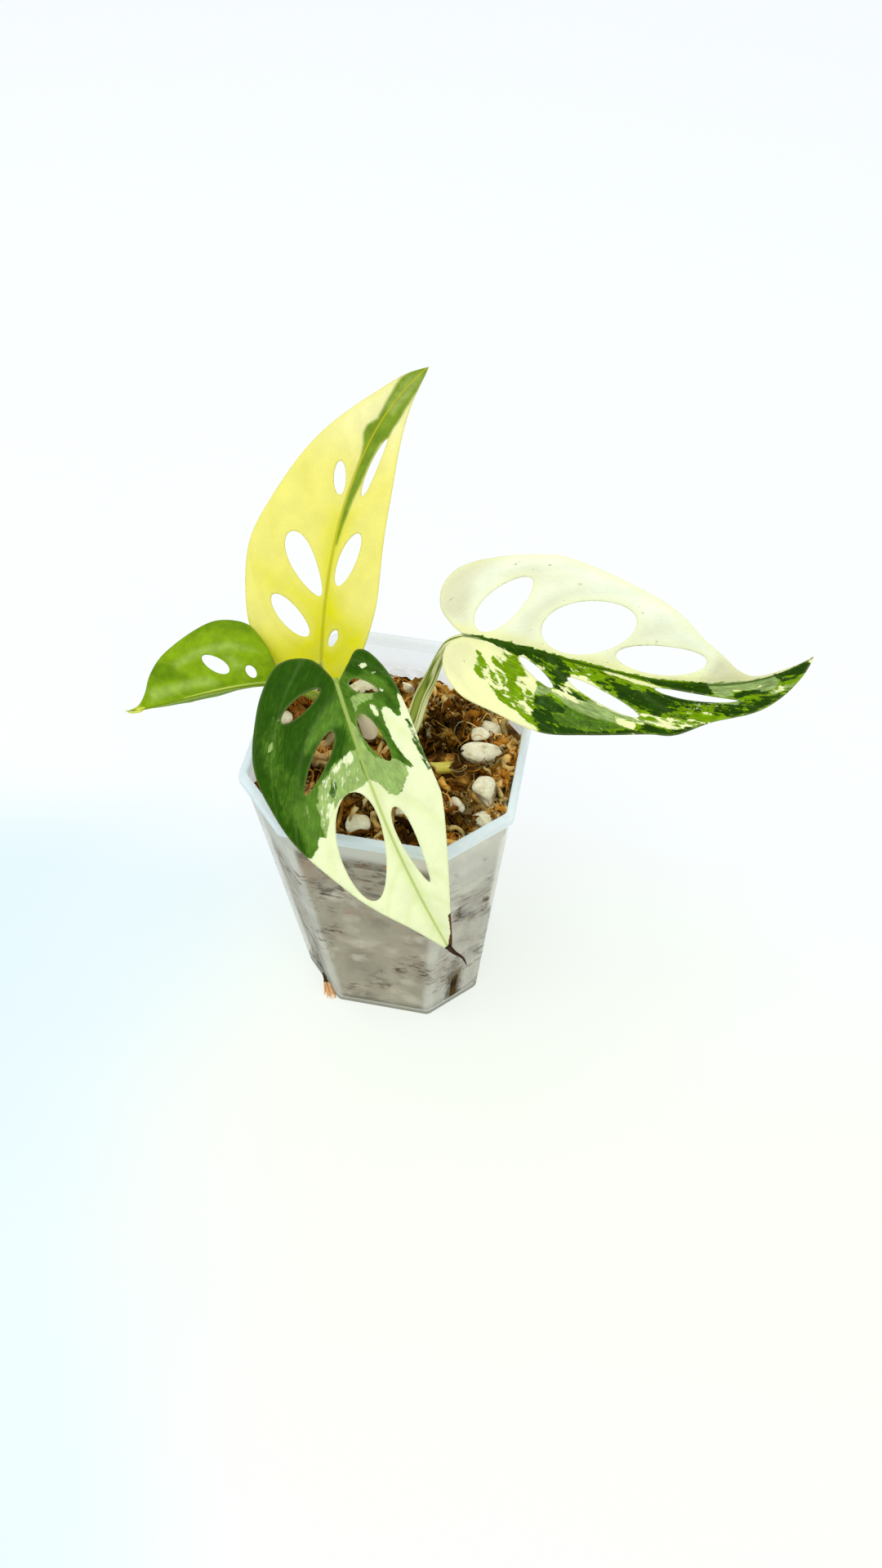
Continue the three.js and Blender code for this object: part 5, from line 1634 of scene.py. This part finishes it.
def chunk_points(chunk, number, ways):
    """A lump: an ellipsoid whose radius swells and dips by the lump's own facets and by a fine rumple. The
    first has a groove along its top, between two lobes."""
    x, y, long, wide, high, turn = chunk
    px, py, pz = ways.T
    facets = np.sin(3.1 * px + number) * np.sin(2.7 * py + 2 * number) + np.sin(3.7 * pz - number)
    fine = rumple(px + number, py, pz, 3.4) + 0.6 * rumple(py, px + number, pz, 7.0)
    grooved = number == 1
    groove = 0.3 * hump(py - 0.2 * px, 0.15, 0.12) * smooth_step(0, 0.3, pz) * grooved
    pointed = 0.12 * px**4 * grooved
    facet_size, fine_size = FACET_SIZES.get(number, FACET_SIZE), 0.03 if grooved else 0.06
    out = 1 + facet_size * facets + fine_size * fine - groove + pointed
    p = ways * np.array([long, wide, high]) / 2 * out[:, None]
    c, s = math.cos(math.radians(turn)), math.sin(math.radians(turn))
    base = mix_height(x, y) + 0.25 * high
    return np.stack([x + c * p[:, 0] - s * p[:, 1], y + s * p[:, 0] + c * p[:, 1], base + p[:, 2]], axis=1)


def perlite():
    """A finer lump for each chunk, one more pale lump far back in the mix and one up in the left heap of
    moss, and many crumbs."""
    look = perlite_look()
    ways, faces = ball(26, 44)
    for number, chunk in enumerate(CHUNKS, 1):
        points = chunk_points(chunk, number, ways)
        # the stained chunks are brown higher up, which on the sixth is painted shade as well as stain
        lifted = points[:, 2] - mix_height(chunk[0], chunk[1]) - (1.2 if number in STAINED_AND_SHADED_CHUNKS else 0)
        node = f"perlite_{number}"
        new_piece(f"{node}_lump", points, faces, [look], [node], {"lifted": lifted})
    random = np.random.default_rng(41)
    small, small_faces = ball(9, 14)
    crumbs = [chunk_points(FAR_LUMP, 31, small), chunk_points(HEAP_LUMP, 12, small) + (0, 0, HEAP_LUMP_LIFT)]
    while len(crumbs) < 50:
        x, y = (random.random(2) - 0.5) * 66
        size = mix(0.8, 2.3, random.random() ** 2)
        shape = size * mix(0.7, 1.2, random.random(3))
        if in_pot(x, y, CRUMB_ROOM) and off_stub(x, y, 97) > 4 and off_chunks(x, y) > 1.2:
            crumbs.append(chunk_points((x, y, *shape, 360 * random.random()), 20 + len(crumbs), small))
    points = np.vstack(crumbs)
    lifted = points[:, 2] - mix_height(points[:, 0], points[:, 1]) + 0.6
    faces = many(small_faces, len(crumbs), len(small))
    new_piece("perlite_crumbs", points, faces, [look], facts={"lifted": lifted})


# The vine: a creeping stem with joints, a torn end on the moss, and roots down in the mix
STEM_PATH = [
    (17.1, -0.8, 97.3), (10.5, -2.0, 96.9), (4, 2.6, 96.6), (-2, 5, 97.8), (-8, 5.5, 102.6), (-10.8, 5, 109),
]
STEM_RADIUS = 2.3
STEM_SIDES = 28
STEM_JOINTS = (0.3, 0.56, 0.8)
ROOT_SIDES = 8
ROOTS = [
    [(4, 4.5, 95.5), (7, 3, 84), (11, -2, 66), (10, -6, 45)],
    [(2, 5, 95.5), (-2, 9, 80), (-8, 14, 62), (-6, 15, 38)],
    [(-3, 6, 98), (-8, 2, 84), (-12, -8, 68), (-16, -10, 52)],
    [(5, 4, 95.5), (3, -2, 80), (-1, -12, 60), (2, -16, 40)],
]


def stem_look():
    """Yellow-green skin with long pale streaks, browner at the joints and at the torn end."""
    look = Look("vine_skin")
    skin = look.attribute("skin", "Vector")
    streaks = look.noise(look.stretched(skin, (2.2, 2.2, 0.12)), 1.0, 4.0, 0.65)
    colour = look.ramp(streaks, [(0.3, (150, 146, 46)), (0.5, (204, 192, 70)), (0.7, (226, 214, 120))])
    colour = look.blend(look.times(look.attribute("brown"), 0.85), colour, (96, 66, 30))
    return look.finish(look.surface(colour, 0.5, 0.3, look.bump(streaks, 0.0003, 0.6)))


def stub_curl(number):
    """A thin dry fibre that curls out of the stem's torn end, in loops that widen as it goes."""
    t = np.linspace(0, 1, 31)
    start = np.array(STEM_PATH[0], float)
    turn = 7 * t + 1.7 * number
    wide = 0.3 + 1.3 * t
    x = start[0] - 0.6 + t * (4 + 1.2 * number) + wide * np.cos(turn)
    y = start[1] + (number - 2.5) * (0.3 + t) + wide * np.sin(turn)
    z = start[2] + 0.5 * np.sin(2 * number) + 1.2 * t + 0.5 * wide * np.sin(turn + 1)
    return np.stack([x, y, z], axis=1)


def stem_tube():
    """The stem's points, their skin places and how brown each is. Its radius swells at each joint. Its near
    end is torn: the last rings step in and out, and its end face is sunk."""
    path = smooth_path(STEM_PATH, 0.35)
    share = np.linspace(0, 1, len(path))
    around = turns(STEM_SIDES)
    swell = 0.4 * np.max([hump(share, joint, 0.035) for joint in STEM_JOINTS], axis=0)
    scar = np.max([hump(share, joint + 0.05, 0.006) for joint in STEM_JOINTS], axis=0)
    radius = STEM_RADIUS * mix(0.78, 0.86, smooth_step(0, 0.4, share)) + swell + 0.18 * scar - 0.1
    ridges = 1 + 0.03 * np.cos(5 * around) + 0.015 * np.cos(11 * around + 1)
    torn = hump(share, 0, 0.02)[:, None] * (0.16 * np.cos(3 * around + 1) + 0.1 * np.cos(7 * around))
    section = round_section(around, radius[:, None] * ridges * (1 + torn))
    grid = swept(path, np.array([0.1, 0.2, 1.0]), section)
    ragged = hump(share, 0, 0.012)[:, None] * (0.9 * np.cos(4 * around + 0.5) + 0.5 * np.cos(9 * around))
    start_way = unit(path[0] - path[3])
    grid = grid + ragged[..., None] * start_way * 0.7
    inner = path[0] + (grid[0] - path[0]) * 0.62 - start_way * 0.7
    grid = np.concatenate([inner[None], grid])
    skin = skin_place(around, np.linspace(0, path_length(path), len(grid))[:, None])
    brown = np.concatenate([[1.0], np.clip(hump(share, 0, 0.012) + 0.5 * scar, 0, 1)])
    return grid, skin, np.repeat(brown, STEM_SIDES)


def root_tube(root):
    """A thin tapering root: its points, their skin places and how brown each is."""
    path = smooth_path(root, 1.2)
    t = np.linspace(0, 1, len(path))[:, None]
    around = turns(ROOT_SIDES)
    thick = mix(1.0, 0.45, t) * (1 + 0.08 * np.sin(40 * t + 3 * around))
    grid = swept(path, np.array([1, 0.2, 0.1]), round_section(around, thick))
    return grid, skin_place(around, 20 * t), np.full(thick.size, 0.9)


def vine_stem():
    """The stem and its roots as one piece."""
    tubes = [stem_tube(), *(root_tube(root) for root in ROOTS)]
    faces, first = [], 0
    for grid, _, _ in tubes:
        faces += [block + first for block in tube_faces(*grid.shape[:2])]
        first += grid.shape[0] * grid.shape[1]
    points = np.vstack([grid.reshape(-1, 3) for grid, _, _ in tubes])
    facts = {
        "skin": np.concatenate([skin for _, skin, _ in tubes]),
        "brown": np.concatenate([brown for _, _, brown in tubes]),
    }
    new_piece("vine_stem_bark", points, faces, [stem_look()], ["vine_stem"], facts)


# The studio, in metres and degrees: a pale floor, even white light, two soft lamps and the camera
LAMP_AIM = (0.01, 0, 0.1)
ROOM_WHITE = (0.975, 0.985, 1, 1)
CAMERA_PLACE = (0.05475, -0.21044, 0.36523)
LOOKS_DOWN = 52.32
FROM_THE_RIGHT = 10.99


def studio_floor():
    """A pale sheet with painted light on it: a faint cool pool on the left and a faint warm one before the
    pot. Part of its brightness is its own, so that shadows on it stay faint."""
    reach = 6.0
    corners = [(-reach, -reach, 0), (reach, -reach, 0), (reach, reach, 0), (-reach, reach, 0)]
    mesh = bpy.data.meshes.new("studio_floor")
    mesh.from_pydata(corners, [], [(0, 1, 2, 3)])
    look = Look("pale_floor")
    place = look.place()
    soft = look.swing(look.noise(place, 6.0, 2.0), 0.12)
    x, y = (look.sum(part, soft) for part in look.parts(place)[:2])
    # painted light: faint pools of cool and warm tinted light on the floor
    left = look.times(look.step(x, 0.0, -0.09), look.step(x, -0.5, -0.25))
    near = look.times(look.step(y, 0.07, 0.0), look.step(y, -0.6, -0.35))
    warm = look.times(look.step(y, 0.08, -0.06), look.step(y, -0.34, -0.1))
    warm = look.times(warm, look.step(x, -0.16, 0.02))
    colour = look.blend(look.times(left, near), (246, 250, 252), (226, 242, 250))
    colour = look.blend(look.times(warm, 0.8), colour, (246, 253, 238))
    matt = look.surface(colour, 0.9, 0.05)
    own = look.node("ShaderNodeEmission", {"Color": colour, "Strength": 1.0}).outputs[0]
    mesh.materials.append(look.finish(look.mixed(0.75, matt, own)))
    floor = bpy.data.objects.new("studio_floor", mesh)
    bpy.context.scene.collection.objects.link(floor)


def soft_lamp(name, place, size, power):
    """A round lamp that shines on the mix."""
    data = bpy.data.lights.new(name, "AREA")
    data.shape = "DISK"
    data.size = size
    data.energy = power
    lamp = bpy.data.objects.new(name, data)
    bpy.context.scene.collection.objects.link(lamp)
    back = unit(np.array(place, float) - np.array(LAMP_AIM, float))
    lamp.location = place
    lamp.rotation_euler = (math.acos(back[2]), 0, math.atan2(back[0], -back[1]))


def studio_light():
    """An even white room, a broad lamp overhead and a smaller one on the right."""
    world = bpy.data.worlds.new("white_room")
    world.use_nodes = True
    backdrop = world.node_tree.nodes["Background"]
    backdrop.inputs["Color"].default_value = ROOM_WHITE
    backdrop.inputs["Strength"].default_value = 1.0
    bpy.context.scene.world = world
    bpy.context.scene.view_settings.view_transform = "Standard"
    soft_lamp("overhead_softbox", (-0.25, -0.15, 0.9), 0.6, 3.0)
    soft_lamp("side_softbox", (0.6, -0.5, 0.6), 0.4, 1.0)


def camera():
    """A camera that looks down on the pot from its front right."""
    data = bpy.data.cameras.new("camera")
    data.sensor_fit = "AUTO"
    data.sensor_width = 36
    data.lens = 28.125
    data.clip_start = 0.01
    eye = bpy.data.objects.new("camera", data)
    bpy.context.scene.collection.objects.link(eye)
    eye.location = CAMERA_PLACE
    eye.rotation_euler = (math.radians(90 - LOOKS_DOWN), 0, math.radians(FROM_THE_RIGHT))
    bpy.context.scene.camera = eye


camera()
studio_light()
studio_floor()
clear_pot()
moss_bed()
moss_strands()
moss_scraps()
wall_roots()
perlite()
vine_stem()
for leaf_name, leaf_shape in LEAVES.items():
    blade(leaf_name, leaf_shape)
    stalk(leaf_name, leaf_shape)
leaf_tails()
